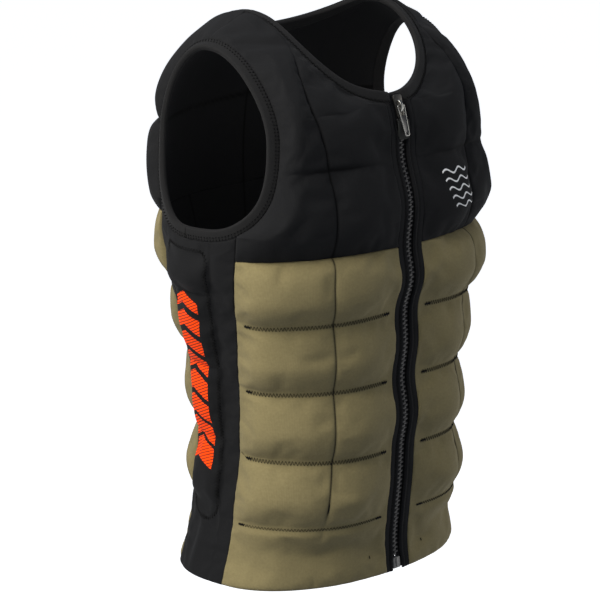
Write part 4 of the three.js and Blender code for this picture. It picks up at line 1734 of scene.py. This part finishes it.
@dataclass(kw_only=True)
class EdgeBinding(SewnPiece):
    """Folded tape along an opening, round at its free edge and flat where it is sewn down."""

    slot: Slot = Slot.BINDING
    lift: float = 6.7
    width: float = 12
    edge_lift: float = 4.2
    edge_round: float = 1.8
    tuck: float = 3.0
    slack: float = 0.15
    slack_end: float = 0.78
    sewn_span: Pair = (0.66, 0.8)
    lines: Table = (0, 0.05, 0.14, 0.28, 0.46, 0.64, 0.78, 0.9, 1)

    def over(self) -> Array:
        """Lifts of the outer face: a rounded edge, a slack middle and a sewn-down edge.

        Returns:
            Lifts in millimetres.
        """
        free = swell(self.across * self.width, self.edge_round)
        slack = np.sin(math.pi * np.clip(self.across / self.slack_end, 0, 1))
        slack = self.slack * (slack - ease(self.across, *self.sewn_span))
        return lerp(self.edge_lift, self.lift, free) + slack

    def under(self) -> Array:
        """Lifts of the inner face."""
        return self.tuck * (1 - swell(self.across * self.width, self.edge_round))


@dataclass(kw_only=True)
class ArmholeBinding(EdgeBinding):
    """Binding round an armhole, with its join under the arm."""

    steps: int = 150

    def rows(self) -> Array:
        """Shares of the way round, from the join up the front and down the back."""
        return np.linspace(0, 1, self.steps + 1)

    def place(self) -> Places:
        """Angles and rises of the tape's points.

        Returns:
            Angles and rises.
        """
        pattern = self.pattern
        join = (pattern.back_meeting + pattern.front_meeting) / 2
        front = lerp(join + 0.15, 0, np.clip(self.up * 2, 0, 1))
        back = lerp(pattern.arm_steps, join - 0.15, np.clip(self.up * 2 - 1, 0, 1))
        position = np.where(self.up <= 0.5, front, back)
        start = pattern.along(pattern.armhole_line(0), position)
        end = pattern.along(pattern.armhole_line(pattern.arm_binding), position)
        return lerp(start[0], end[0], self.across), lerp(start[1], end[1], self.across)


@dataclass(kw_only=True)
class NeckBinding(EdgeBinding):
    """Binding round the neck, with its ends in the middle of the front, behind the slider."""

    width: float = 9
    lift: float = 6.8
    end: float = 0.15
    behind: float = 5.4
    behind_span: Pair = (6.4, 7.8)
    facing_climb: float = 1.2
    facing_span: Pair = (15, 24)
    slider_dip: float = 2.4
    slider_span: Pair = (8, 16)
    steps: int = 124
    end_rows: Table = (0, 0.006, 0.012, 0.014, 0.0165, 0.02)

    def rows(self) -> Array:
        """Shares of the way round the neck, closer where the ends go behind the slider."""
        ends = np.array(self.end_rows)
        return np.concatenate([ends, np.linspace(0.026, 0.974, self.steps), 1 - ends[::-1]])

    def place(self) -> Places:
        """Angles and rises of the tape's points.

        Returns:
            Angles and rises.
        """
        pattern = self.pattern
        margin = pattern.neck_binding * self.across
        start = np.degrees(np.arcsin(self.end / (pattern.neck_half_width + margin)))
        turn = lerp(start, 360 - start, 1 - self.up)
        angle, rise = pattern.neckline(np.where(turn > 180, 360 - turn, turn), margin)
        return np.where(turn > 180, 540 - angle, angle), rise

    def over(self) -> Array:
        """Lifts of the outer face, which climbs over the tops of the zip's facings.

        Returns:
            Lifts in millimetres.
        """
        pattern = self.pattern
        x = np.abs(pattern.torso.bare(self.angle, self.rise)[..., 0])
        facing = self.facing_climb * (1 - ease(x, *self.facing_span))
        slider = self.slider_dip * (1 - ease(x, *self.slider_span))
        climb = pattern.neck_lift(x) - SEAM_LIFT - pattern.neck_raise + facing - slider
        front = self.rise < pattern.torso.ridge_rise
        free = swell(self.across * self.width, self.edge_round)
        hidden = lerp(self.edge_lift, self.behind, free)
        shown = super().over() + np.where(front, climb, 0)
        return np.where(front, lerp(hidden, shown, ease(x, *self.behind_span)), shown)


@dataclass(kw_only=True)
class ZipFacing(SewnPiece):
    """Strip of folded cloth over the zip's tape, with a rolled edge beside the teeth."""

    edge: float = 5.2
    clear: float = 7.1
    bottom: float = 10
    slider_length: float = 24
    reach: float = 5
    sunk: float = 0.6
    roll: float = 1.1
    roll_line: float = 0.84
    roll_width: float = 0.13
    groove: float = 0.7
    stitch_line: float = 0.6
    groove_width: float = 0.06
    edge_drop: float = 1.6
    edge_start: float = 0.92
    pressed: float = 2.8
    thinnest: float = 0.5
    lines: Table = (0, 0.06, 0.2, 0.4, 0.6, 0.76, 0.88, 0.96, 1)

    def rows(self) -> Array:
        """Rising heights."""
        return np.linspace(HEM, self.pattern.zip_top - 1.2, 125)

    def free_edge(self, rise: Array) -> Array:
        """How far the rolled edge is from the centre line, clear of the slider and the box.

        Args:
            rise: Rises.

        Returns:
            Distances in millimetres.
        """
        below = self.pattern.slider_rise - self.slider_length / 2 - self.reach - rise
        above = rise - self.bottom - self.reach
        return lerp(self.edge, self.clear, np.clip(-np.minimum(below, above) / self.reach, 0, 1))

    def place(self) -> Places:
        """Angles and rises of the strip's points."""
        x = lerp(self.pattern.zip_edge + LAP / 2, self.free_edge(self.up), self.across)
        return self.pattern.front_angle(x, self.up), self.up

    def slider_room(self) -> Array:
        """How far the strip is pressed flat beside the slider, between 0 and 1."""
        slider = self.pattern.slider_rise
        return ease(self.rise, slider - 18, slider - 10) * ease(self.across, 0.25, 0.85)

    def over(self) -> Array:
        """Lifts of the outer face: sewn down at the panel, rolled at the teeth.

        Returns:
            Lifts in millimetres.
        """
        roll = self.roll * bump(self.across, self.roll_line, self.roll_width)
        groove = self.groove * bump(self.across, self.stitch_line, self.groove_width)
        drop = self.edge_drop * ease(self.across, self.edge_start, 1)
        drop = drop + self.pressed * self.slider_room()
        face = self.pattern.zip_edge_lift(self.rise) - self.sunk + roll - groove - drop
        return np.maximum(face, self.under() + self.thinnest)

    def under(self) -> Array:
        """Lifts of the inner face."""
        return self.pattern.zip_lift(self.rise) + 0.9 + self.across * (1 - 0.9 * self.slider_room())

    def sewn(self) -> Array:
        """Closeness to the topstitched groove, as painted shadow in the groove."""
        return 0.6 * near(self.across, (self.stitch_line,), reach=0.07)


@dataclass(kw_only=True)
class ZipTape(SewnPiece):
    """Woven tape that carries a row of teeth."""

    slot: Slot = Slot.CHAIN
    inner_edge: float = 0.4

    def rows(self) -> Array:
        """Rising heights."""
        return np.linspace(HEM + 1, self.pattern.zip_top - 0.5, 118)

    def place(self) -> Places:
        """Angles and rises of the tape's points."""
        x = lerp(self.pattern.zip_edge + LAP / 2, self.inner_edge, self.across)
        return self.pattern.front_angle(x, self.up), self.up

    def over(self) -> Array:
        """Lifts of the outer face, with a ridge under the teeth."""
        return self.pattern.zip_lift(self.rise) + 0.55 + 0.3 * ease(self.across, 0.7, 1)

    def under(self) -> Array:
        """Lifts of the inner face."""
        return self.pattern.zip_lift(self.rise) - 0.55


@dataclass(kw_only=True)
class ZipGarage(SewnPiece):
    """Cover tab over the top of the teeth, behind the pull."""

    slot: Slot = Slot.BINDING
    width: float = 17
    length: float = 16
    below: float = 8.6
    lines: Table = (0, 0.04, 0.12, 0.3, 0.5, 0.7, 0.88, 0.96, 1)

    def rows(self) -> Array:
        """Rising heights."""
        top = self.pattern.slider_rise - self.below
        return graded((top - self.length, top), cell=2, groove=0.6)

    def place(self) -> Places:
        """Angles and rises of the tab's points, narrower at its rounded foot.

        Returns:
            Angles and rises.
        """
        foot = self.up - float(self.rows()[0])
        half = self.width / 2 * lerp(0.55, 1, swell(foot, reach=6))
        return self.pattern.front_angle(lerp(half, -half, self.across), self.up), self.up

    def over(self) -> Array:
        """Lifts of the outer face, domed over the teeth.

        Returns:
            Lifts in millimetres.
        """
        slider = self.pattern.slider_rise
        dome = 0.4 * np.sin(math.pi * self.across) * (1 - ease(self.rise, slider - 16, slider - 9))
        return self.under() + 0.7 + dome

    def under(self) -> Array:
        """Lifts of the inner face."""
        return self.pattern.zip_edge_lift(self.rise) + 0.3


@dataclass(frozen=True)
class Stitch:
    """A kind of stitch in millimetres. A running one has no width, and a share of it is thread."""

    pitch: float = 3.4
    half_width: float = 2.5
    lift: float = 0.2
    share: float = 1.0


@dataclass
class Needlework:
    """Stitches of one area, gathered and then made as one mesh."""

    name: str
    finish: Material
    thickness: float = 0.28
    overlap: float = 1.12
    flatness: float = 0.85
    probe: float = 0.004
    origins: list[Array] = field(default_factory=list)
    axes: list[Array] = field(default_factory=list)

    def lay(self, starts: Array, ends: Array, outs: Array) -> None:
        """Lays one stitch between each pair of points.

        Args:
            starts: First points.
            ends: Last points.
            outs: Outward directions.
        """
        along, half = (ends - starts) / 2, self.thickness * MM
        outs = unit(outs - unit(along) * np.sum(outs * unit(along), axis=1, keepdims=True))
        aside = np.cross(outs, unit(along))
        self.origins.append((starts + ends) / 2)
        ways = along * self.overlap, aside * half, outs * half * self.flatness
        self.axes.append(np.stack(ways, axis=1))

    def trace(
        self, piece: SewnPiece, across: Sequence[float], up: Sequence[float], step: float
    ) -> Places:
        """Positions a step apart along a line on a piece.

        Args:
            piece: The piece that is sewn.
            across: Line's positions across it.
            up: Line's positions up it.
            step: Spacing in millimetres.

        Returns:
            Positions across the piece and up it.
        """
        share = np.linspace(0, 1, 400)
        knots = np.linspace(0, 1, len(across))
        across, up = np.interp(share, knots, across), np.interp(share, knots, up)
        points, _ = piece.spots(across, up)
        lengths = np.concatenate([[0], np.cumsum(np.linalg.norm(np.diff(points, axis=0), axis=1))])
        count = max(2, round(lengths[-1] / (step * MM)))
        even = np.linspace(0, lengths[-1], count + 1)
        return np.interp(even, lengths, across), np.interp(even, lengths, up)

    def beside(self, piece: SewnPiece, across: Array, up: Array, distance: Array) -> Places:
        """Points of a piece's outer face at a distance to the side of a line on it.

        Args:
            piece: The piece that is sewn.
            across: Line's positions across it.
            up: Line's positions up it.
            distance: Distance to the side of each position, in millimetres.

        Returns:
            Points and outward directions.
        """
        points, outs = piece.spots(across, up)
        aside = np.cross(outs, unit(np.gradient(points, axis=0))) * distance[:, None] * MM
        rows = piece.rows()
        step = np.where(across > 0.5, -self.probe, self.probe)
        climb = np.where(up > rows.mean(), -self.probe, self.probe) * np.ptp(rows)
        sideways = piece.spots(across + step, up)[0] - points
        upward = piece.spots(across, up + climb)[0] - points
        aside_share, up_share = shares_along(sideways, upward, aside)
        return piece.spots(across + step * aside_share, up + climb * up_share)

    def sew(
        self, piece: SewnPiece, across: Sequence[float], up: Sequence[float], stitch: Stitch
    ) -> None:
        """Sews along a line on a piece.

        Args:
            piece: The piece.
            across: Line's positions across it.
            up: Line's positions up it.
            stitch: Kind of stitch.
        """
        zigzag = stitch.half_width > 0
        spots = self.trace(piece, across, up, stitch.pitch / (2 if zigzag else 1))
        points, outs = piece.spots(*spots)
        if zigzag:
            sign = np.where(np.arange(len(points)) % 2 == 0, 1, -1)
            points, outs = self.beside(piece, *spots, sign * stitch.half_width)
        points = points + outs * stitch.lift * MM
        self.lay(points[:-1], lerp(points[:-1], points[1:], stitch.share), outs[:-1])

    def build(self, slot: Slot) -> None:
        """Makes the stitches as one piece and hands it over.

        Args:
            slot: Material slot of the cloth that is sewn; not used.
        """
        grain = bmesh.new()
        bmesh.ops.create_icosphere(grain, subdivisions=1, radius=1)
        origins, axes = np.concatenate(self.origins), np.concatenate(self.axes)
        hand_over(joined_copies(self.name, grain, origins, axes, self.finish))


@dataclass
class Stitching:
    """Visible stitches: places across the pieces are shares of their width."""

    panels: dict[str, QuiltedPanel]
    trims: dict[str, SewnPiece]
    thread: Material
    row_span: Pair = (0.08, 0.94)
    row_widths: Table = (1.7, 2.6, 2.6, 2.6)
    row_ends: tuple[Pair, ...] = ((0.07, 0.115), (0.9, 0.945))
    row_tack: Stitch = Stitch(1.0, 1.3, 0.4)
    column_seam: Stitch = Stitch(3.0, 0.0, 0.0)
    column_end: float = 10
    column_tack: Stitch = Stitch(1.0, 0.9, 0.3)
    loose_end: tuple[Pair, ...] = ((0.02, 0.085), (138, 132))
    loose_thread: Stitch = Stitch(14, 0.05, 0.4)
    hem_mark: tuple[Pair, ...] = ((0.885, 0.885), (18.6, 21.4))
    hem_tack: Stitch = Stitch(0.7, 0.8, 0.4)
    back_span: Pair = (0.03, 0.97)
    armhole_lines: Pair = (0.64, 0.86)
    armhole_stitch: Stitch = Stitch(3.6, 0.0, 0.3, 0.42)
    facing_thickness: float = 0.34
    facing_stitch: Stitch = Stitch(3.2, 0.0, 0.15, 0.7)
    neck_line: float = 0.8
    neck_stitch: Stitch = Stitch(4.2, 1.4, 0.4)
    pocket_stitch: Stitch = Stitch(3.4, 2.1, 0.2)
    pocket_head: float = 33
    pocket_inset: float = 0.03
    pocket_shoulder: Pair = (0.1, 0.03)
    pocket_foot: Pair = (0.22, 0.07)

    def front(self, side: Side) -> None:
        """Sews the rows, the column and the tacks of a lower front panel.

        Args:
            side: Half of the vest.
        """
        panel = self.panels[f"front_body_{side.value}"]
        assert isinstance(panel, FrontBody)
        work = Needlework(f"front_stitching_{side.value}", self.thread)
        for row, half in zip(FRONT_ROWS[:-1], self.row_widths):
            work.sew(panel, self.row_span, (row, row), Stitch(half_width=half))
            for end in self.row_ends:
                work.sew(panel, end, (row, row), self.row_tack)
        line, foot = (panel.column, panel.column), panel.column_foot
        work.sew(panel, line, (foot, FRONT_YOKE), self.column_seam)
        work.sew(panel, line, (foot, foot + self.column_end), self.column_tack)
        work.sew(panel, *self.loose_end, self.loose_thread)
        work.sew(panel, *self.hem_mark, self.hem_tack)
        work.build(Slot.OLIVE)

    def edges(self, side: Side) -> None:
        """Sews an armhole's binding and the zip's facing beside it.

        Args:
            side: Half of the vest.
        """
        binding = self.trims[f"armhole_binding_{side.value}"]
        facing = self.trims[f"zip_facing_{side.value}"]
        assert isinstance(facing, ZipFacing)
        work = Needlework(f"armhole_stitching_{side.value}", self.thread, thickness=0.85)
        for line in self.armhole_lines:
            work.sew(binding, (line, line), (0, 1), self.armhole_stitch)
        work.thickness = self.facing_thickness
        ends = HEM + 2, facing.pattern.zip_top - 10
        line = facing.stitch_line, facing.stitch_line
        work.sew(facing, line, ends, self.facing_stitch)
        work.build(Slot.BINDING)

    def pocket(self, side: Side) -> None:
        """Sews the line round a side panel's pocket.

        Args:
            side: Half of the vest.
        """
        panel = self.panels[f"side_panel_{side.value}"]
        assert isinstance(panel, SidePanel)
        work = Needlework(f"pocket_stitching_{side.value}", self.thread, thickness=0.42)
        span = float(panel.rise.max()) - HEM
        ends = panel.pocket_rows[0], panel.pocket_rows[-1] + self.pocket_head
        low, high = ((rise - HEM) / span for rise in ends)
        left = panel.margin / panel.width + self.pocket_inset
        turn = np.linspace(0, math.pi / 2, 9)
        over, under = 1 - np.sin(turn), 1 - np.cos(turn)
        shoulder, foot = self.pocket_shoulder, self.pocket_foot
        across = [0.5, *(left + shoulder[0] * over), *(left + foot[0] * under), 0.5]
        up = [high, *(high - shoulder[1] * under), *(low + foot[1] * over), low]
        for edge in (across, [1 - place for place in across]):
            work.sew(panel, edge, up, self.pocket_stitch)
        work.build(Slot.BLACK)

    def back(self) -> None:
        """Sews the rows of the lower back panel."""
        work = Needlework("back_stitching", self.thread)
        for row in BACK_ROWS[:-1]:
            work.sew(self.panels["back_body"], self.back_span, (row, row), Stitch())
        work.build(Slot.OLIVE)

    def neck(self) -> None:
        """Sews the neck's binding."""
        work = Needlework("neck_stitching", self.thread, thickness=0.5)
        line = self.neck_line, self.neck_line
        work.sew(self.trims["neck_binding"], line, (0, 1), self.neck_stitch)
        work.build(Slot.BINDING)

    def build(self) -> None:
        """Sews every line, one half of the vest after the other."""
        for side in (Side.RIGHT, Side.LEFT):
            self.front(side)
            self.edges(side)
            self.pocket(side)
        self.back()
        self.neck()


@dataclass(frozen=True)
class Plate:
    """Tapered plate along y, with rounded corners and rims, in millimetres."""

    bottom: float
    top: float
    length: float
    depth: float
    corner: float
    edge: float

    def add(self, bm: Shape, centre: Triple = (0, 0, 0)) -> None:
        """Adds the plate to a shape.

        Args:
            bm: Shape that takes the plate.
            centre: Place of the plate's middle.
        """
        old = set(bm.verts)
        verts = bmesh.ops.create_cube(bm, size=1)["verts"]
        for vert in verts:
            width = self.top if vert.co.y > 0 else self.bottom
            vert.co = vert.co * Vector((width, self.length, self.depth))
        edges = dict.fromkeys(item for vert in verts for item in vert.link_edges)
        soften(bm, [item for item in edges if self.climb(item) > self.depth / 2], self.corner, 5)
        fresh = [vert for vert in bm.verts if vert not in old]
        rims = dict.fromkeys(
            item for vert in fresh for item in vert.link_edges
            if self.climb(item) < 1e-6 and item.calc_face_angle(0) > 0.7
        )
        soften(bm, list(rims), self.edge, 2)
        fresh = [vert for vert in bm.verts if vert not in old]
        bmesh.ops.translate(bm, verts=fresh, vec=centre)

    @staticmethod
    def climb(edge: bmesh.types.BMEdge) -> float:
        """Height between an edge's two ends."""
        return abs(edge.verts[0].co.z - edge.verts[1].co.z)


@dataclass
class FrontZip:
    """Teeth, slider, pull and box of the front zip."""

    pattern: VestPattern
    finishes: Finishes
    pitch: float = 4.7
    tooth: Triple = (5.6, 2.7, 3.2)
    tooth_neck: float = 0.72
    tooth_edge: float = 0.5
    tooth_middle: float = 1.6
    foot: float = 14
    slider_plate: Plate = Plate(9.4, 13, length=24, depth=1.8, corner=3, edge=0.55)
    slider_lift: float = 9.988
    play: float = 0.8
    post: Plate = Plate(5, 5, length=7, depth=5.8, corner=1.4, edge=0.2)
    post_rise: float = 7
    bridge_width: float = 3
    bridge_inside: float = 0.7
    bridge_reach: Pair = (6.3, 4.1)
    bridge_lift: float = 2.9
    pull_plate: Plate = Plate(6.6, 11.2, length=32, depth=1.4, corner=1.6, edge=0.3)
    pull_bar: float = 1.7
    rim: float = 0.55
    rim_slope: float = 0.12
    field_depth: float = 0.3
    window: Plate = Plate(6.2, 7.2, length=9.5, depth=9, corner=1.2, edge=0.05)
    hole: float = 1.3
    hole_rise: float = 4
    box_body: Plate = Plate(11, 11, length=12, depth=5, corner=1.5, edge=0.9)
    box_rise: float = 7
    rib: Plate = Plate(3, 3, length=9, depth=1.2, corner=0.6, edge=0.3)
    rib_lift: float = 2.6

    @property
    def slider_face(self) -> float:
        """Height of the slider's front face above the chain's middle."""
        return self.tooth[2] / 2 + self.play / 2 + self.slider_plate.depth

    def frame_at(self, rise: float, lift: float) -> Matrix:
        """Frame on the zip: x across, y up the zip, z out of the vest, in metres per millimetre.

        Args:
            rise: Height up the zip.
            lift: Distance out from the skin.

        Returns:
            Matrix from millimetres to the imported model's frame.
        """
        torso = self.pattern.torso
        around, upward = (Vector(way) for way in torso.ways(np.array(270.0), np.array(rise)))
        out = around.cross(upward).normalized()
        across = around.normalized()
        basis = Matrix((across, out.cross(across), out)).transposed().to_4x4()
        origin = Vector(torso.on(270.0, rise, lift))
        return Matrix.Translation(origin) @ basis @ Matrix.Scale(MM, 4)

    def tooth_shape(self) -> Shape:
        """One moulded tooth: a block with a narrower neck and rounded edges, in millimetres.

        Returns:
            The tooth's shape.
        """
        bm = bmesh.new()
        verts = bmesh.ops.create_cube(bm, size=1)["verts"]
        for vert in verts:
            neck = self.tooth_neck if vert.co.x > 0 else 1.0
            vert.co = vert.co * Vector(self.tooth) * Vector((1, neck, 1))
        soften(bm, bm.edges[:], self.tooth_edge, 1)
        return bm

    def teeth(self, side: Side) -> None:
        """Builds one row of teeth.

        Args:
            side: Half of the vest that carries the row.
        """
        pattern = self.pattern
        shift = self.pitch / 2 if side is Side.LEFT else 0.0
        top = pattern.slider_rise - self.slider_plate.length / 2 + 4
        rise = np.arange(self.foot + shift, top, self.pitch)
        angle = pattern.front_angle(np.full_like(rise, self.tooth_middle), rise)
        mirror = -1.0 if side is Side.RIGHT else 1.0
        angle = 540 - angle if side is Side.LEFT else angle
        lift = pattern.zip_lift(rise)
        origins = pattern.torso.on(angle, rise, lift)
        up = unit(pattern.torso.on(angle, rise + 1, pattern.zip_lift(rise + 1)) - origins)
        around, upward = pattern.torso.ways(angle, rise)
        out = unit(np.cross(around, upward))
        across = unit(np.cross(up, out))
        out = np.cross(across, up)
        axes = np.stack([across * mirror, up * mirror, out], axis=1) * MM
        name, finish = f"zip_teeth_{side.value}", self.finishes.teeth
        hand_over(joined_copies(name, self.tooth_shape(), origins, axes, finish))

    def slider(self) -> None:
        """Builds the slider: two plates, the post between them and the pull's bridge."""
        bm = bmesh.new()
        middle = self.slider_face - self.slider_plate.depth / 2
        self.slider_plate.add(bm, (0, 0, -middle))
        self.slider_plate.add(bm, (0, 0, middle))
        self.post.add(bm, (0, self.post_rise, 0))
        self.bridge(bm)
        bmesh.ops.transform(bm, matrix=self.slider_frame(), verts=bm.verts)
        bmesh.ops.recalc_face_normals(bm, faces=bm.faces)
        obj = new_object("zip_slider_cast", bm, [self.finishes.slider, self.finishes.pull])
        hand_over(obj, ["zip_slider"])

    def bridge(self, bm: Shape) -> None:
        """Adds the slider's bridge: a flat bar turned over half an ellipse.

        Args:
            bm: Shape that takes the bridge.
        """
        half, base = self.bridge_width / 2, self.slider_face
        verts = bmesh.ops.create_grid(bm, x_segments=1, y_segments=1, size=0.5)["verts"]
        for vert in verts:
            reach = lerp(self.bridge_inside, 1, vert.co.y + 0.5)
            vert.co = (vert.co.x * self.bridge_width, reach, 0)
        section = verts[0].link_faces[0]
        bmesh.ops.spin(
            bm, geom=[section, *section.edges, *section.verts], cent=(0, 0, 0), axis=(1, 0, 0),
            dvec=(0, 0, 0), angle=math.pi, steps=14, use_merge=False, use_duplicate=False,
        )
        fresh = [
            vert for vert in bm.verts if abs(vert.co.x) < half + 1e-6 and vert.co.yz.length < 1.01
        ]
        for face in bm.faces:
            face.material_index = int(set(fresh).issuperset(face.verts))
        bmesh.ops.scale(bm, vec=(1, *self.bridge_reach), verts=fresh)
        bmesh.ops.translate(bm, vec=(0, 0, base - 0.05), verts=fresh)

    def slider_frame(self) -> Matrix:
        """Frame of the slider on the zip."""
        return self.frame_at(self.pattern.slider_rise, self.slider_lift)

    def pull(self) -> None:
        """Builds the pull: a tapered frame with an enamelled field, a window and a hole."""
        bm = bmesh.new()
        self.pull_plate.add(bm, (0, (self.pull_bar - self.pull_plate.length) / 2, 0))
        front = max(bm.faces, key=lambda item: item.calc_center_median().z)
        for thickness, depth in (self.rim, 0), (self.rim_slope, -self.field_depth):
            bmesh.ops.inset_region(
                bm, faces=[front], thickness=thickness, depth=depth, use_even_offset=True
            )
        front.material_index = 1
        plate = new_object("zip_pull_plate", bm, [self.finishes.pull, self.finishes.enamel])
        knife = self.pull_knife()
        cut = plate.modifiers.new("cut", "BOOLEAN")
        cut.object, cut.operation, cut.solver = knife, "DIFFERENCE", "EXACT"
        evaluated = plate.evaluated_get(bpy.context.evaluated_depsgraph_get())
        shape = bpy.data.meshes.new_from_object(evaluated)
        plate.modifiers.clear()
        plate.data = shape
        lift = Matrix.Translation((0, 0, self.slider_face + self.bridge_lift / 2))
        plate.data.transform(self.slider_frame() @ lift)
        bpy.data.objects.remove(knife)
        edges = plate.modifiers.new("edges", "BEVEL")
        edges.width, edges.segments = 0.16 * MM, 2
        edges.limit_method, edges.angle_limit = "ANGLE", 0.7
        hand_over(plate, ["zip_pull"], "pull")

    def pull_knife(self) -> Object:
        """What is cut out of the pull: the window for the bridge and the hole at its foot.

        Returns:
            The shape to cut away.
        """
        bm = bmesh.new()
        self.window.add(bm, (0, -(self.pull_bar + self.window.length) / 2, 0))
        hole = bmesh.ops.create_cone(
            bm, cap_ends=True, segments=20, radius1=self.hole, radius2=self.hole, depth=9
        )
        foot = self.hole_rise - self.pull_plate.length
        bmesh.ops.translate(bm, vec=(0, foot, 0), verts=hole["verts"])
        bmesh.ops.recalc_face_normals(bm, faces=bm.faces)
        return new_object("pull_knife", bm, [])

    def box(self) -> None:
        """Builds the box at the zip's lower end, with a rib down its middle."""
        bm = bmesh.new()
        self.box_body.add(bm)
        self.rib.add(bm, (0, 0, self.rib_lift))
        rise = HEM + self.box_rise
        lift = float(self.pattern.zip_lift(np.array(rise)))
        bmesh.ops.transform(bm, matrix=self.frame_at(rise, lift), verts=bm.verts)
        obj = new_object("zip_box_moulding", bm, [self.finishes.plastic])
        hand_over(obj, ["zip_box"])

    def build(self) -> None:
        """Builds the zip's hard pieces."""
        self.teeth(Side.RIGHT)
        self.teeth(Side.LEFT)
        self.slider()
        self.pull()
        self.box()


@dataclass(frozen=True)
class Studio:
    """Pale floor, soft light and the camera at the photograph's viewing angle."""

    turn: float = 47.4
    tilt: float = 12.8
    distance: float = 2.859
    target: Triple = (0, 0, -0.2668)
    lens: float = 164.9
    shift: Pair = (-21.1 / 600, -21.5 / 600)
    sensor: float = 36
    floor_drop: float = 1.45
    floor_radius: float = 30
    sky: float = 0.24
    warm: Triple = (1, 0.96, 0.9)
    cool: Triple = (0.9, 1, 1.2)

    def directions(self) -> tuple[Vector, Vector, Vector]:
        """Directions of the camera.

        Returns:
            Right, up and backward.
        """
        turn, tilt = math.radians(self.turn), math.radians(self.tilt)
        level = math.cos(tilt)
        back = Vector((-math.sin(turn) * level, -math.cos(turn) * level, math.sin(tilt)))
        right = Vector((math.cos(turn), -math.sin(turn), 0))
        return right, back.cross(right), back

    def camera(self) -> None:
        """Sets up the camera."""
        right, up, back = self.directions()
        data = bpy.data.cameras.new("camera")
        data.lens, data.sensor_width = self.lens, self.sensor
        data.shift_x, data.shift_y = self.shift
        camera = bpy.data.objects.new("camera", data)
        aim = Matrix((right, up, back)).transposed().to_4x4()
        camera.matrix_world = Matrix.Translation(Vector(self.target) + back * self.distance) @ aim
        bpy.context.collection.objects.link(camera)
        bpy.context.scene.camera = camera

    def light(self, name: str, way: Triple, size: float, watts: float, tint: Triple) -> None:
        """Adds one soft square light, aimed at the vest.

        Args:
            name: Name of the light.
            way: Distances to the camera's right, up and backward, in metres.
            size: Side of the light in metres.
            watts: Strength.
            tint: Colour.
        """
        right, up, back = self.directions()
        data = bpy.data.lights.new(name, "AREA")
        data.size, data.energy, data.color = size, watts, tint
        light = bpy.data.objects.new(name, data)
        offset = right * way[0] + up * way[1] + back * way[2]
        light.location = Vector(self.target) + offset
        light.rotation_euler = offset.to_track_quat("Z", "Y").to_euler()
        bpy.context.collection.objects.link(light)

    def floor(self) -> None:
        """Lays the floor well below the vest, which hangs from its shoulders."""
        bm = bmesh.new()
        bmesh.ops.create_circle(bm, cap_ends=True, segments=64, radius=self.floor_radius)
        bmesh.ops.translate(bm, vec=(0, 0, -self.floor_drop), verts=bm.verts)
        floor = new_object("floor", bm, [PaleFloor().build()])
        floor.visible_diffuse = False

    def build(self) -> None:
        """Sets up the studio."""
        self.camera()
        self.floor()
        self.light("key", way=(-0.84, 0.9, 1.08), size=1.1, watts=43, tint=self.warm)
        self.light("rim", way=(2.2, 0.3, -0.7), size=1.5, watts=18, tint=self.warm)
        self.light("top", way=(-0.4, 3.0, 0.5), size=2.0, watts=18, tint=self.cool)
        self.light("fill", way=(-1.5, -0.7, 0.9), size=1.4, watts=9, tint=self.warm)
        world = bpy.data.worlds.new("studio")
        world.use_nodes = True
        sky = world.node_tree.nodes["Background"].inputs
        sky["Color"].default_value = (*self.cool, 1)
        sky["Strength"].default_value = self.sky
        bpy.context.scene.world = world
        bpy.context.scene.view_settings.view_transform = "Standard"


class Vest:
    """The whole vest, from its panels to its stitching."""

    def __init__(self) -> None:
        """Lays out the pattern, the finishes and the panels."""
        self.pattern, self.finishes = VestPattern(), Finishes()
        olive, black = self.finishes.olive, self.finishes.black
        self.panels: dict[str, QuiltedPanel] = {}
        for side in (Side.RIGHT, Side.LEFT):
            chest = self.finishes.waves if side is Side.LEFT else black
            self.lay_out(self.panels, FrontBody, "front_body", olive, side, black)
            self.lay_out(self.panels, FrontChest, "front_chest", chest, side, black)
            self.lay_out(self.panels, SidePanel, "side_panel", self.finishes.chevrons, side, black)
        self.lay_out(self.panels, BackBody, "back_body", olive, lining=black)
        self.lay_out(self.panels, BackYoke, "back_yoke", black)

    def lay_out(
        self, pieces: dict, kind: type[SewnPiece], stem: str, finish: Material,
        side: Side = Side.MIDDLE, lining: Material | None = None,
    ) -> None:
        """Lays out one sewn piece and keeps it under its name.

        Args:
            pieces: Pieces by name, which take the new one.
            kind: Class of the piece.
            stem: Its name without its side.
            finish: Material of its outer face.
            side: Half of the vest that it lies on.
            lining: Material of its inner face, if it is another one.
        """
        name = stem if side is Side.MIDDLE else f"{stem}_{side.value}"
        pieces[name] = kind(
            pattern=self.pattern, finish=finish, lining=lining, name=f"{name}_cloth", side=side
        )

    def trims(self) -> dict[str, SewnPiece]:
        """Builds the bindings, facings, tapes and cover tab.

        Returns:
            The pieces by name.
        """
        finishes, trims = self.finishes, {}
        self.lay_out(trims, NeckBinding, "neck_binding", finishes.binding)
        self.lay_out(trims, ZipGarage, "zip_garage", finishes.garage)
        for side in (Side.RIGHT, Side.LEFT):
            self.lay_out(trims, ArmholeBinding, "armhole_binding", finishes.binding, side)
            self.lay_out(trims, ZipFacing, "zip_facing", finishes.black, side)
            self.lay_out(trims, ZipTape, "zip_tape", finishes.tape, side)
        for piece in trims.values():
            piece.build()
        return trims

    def build(self) -> None:
        """Builds the vest in order: panels, trims, zip, stitches."""
        Inflation().swell(list(self.panels.values()))
        for panel in self.panels.values():
            panel.build()
        trims = self.trims()
        FrontZip(self.pattern, self.finishes).build()
        Stitching(self.panels, trims, self.finishes.thread).build()


def main() -> None:
    """Builds the vest and its studio."""
    logging.basicConfig(level=logging.INFO, format="%(name)s: %(message)s")
    Vest().build()
    Studio().build()


if __name__ == "__main__":
    main()
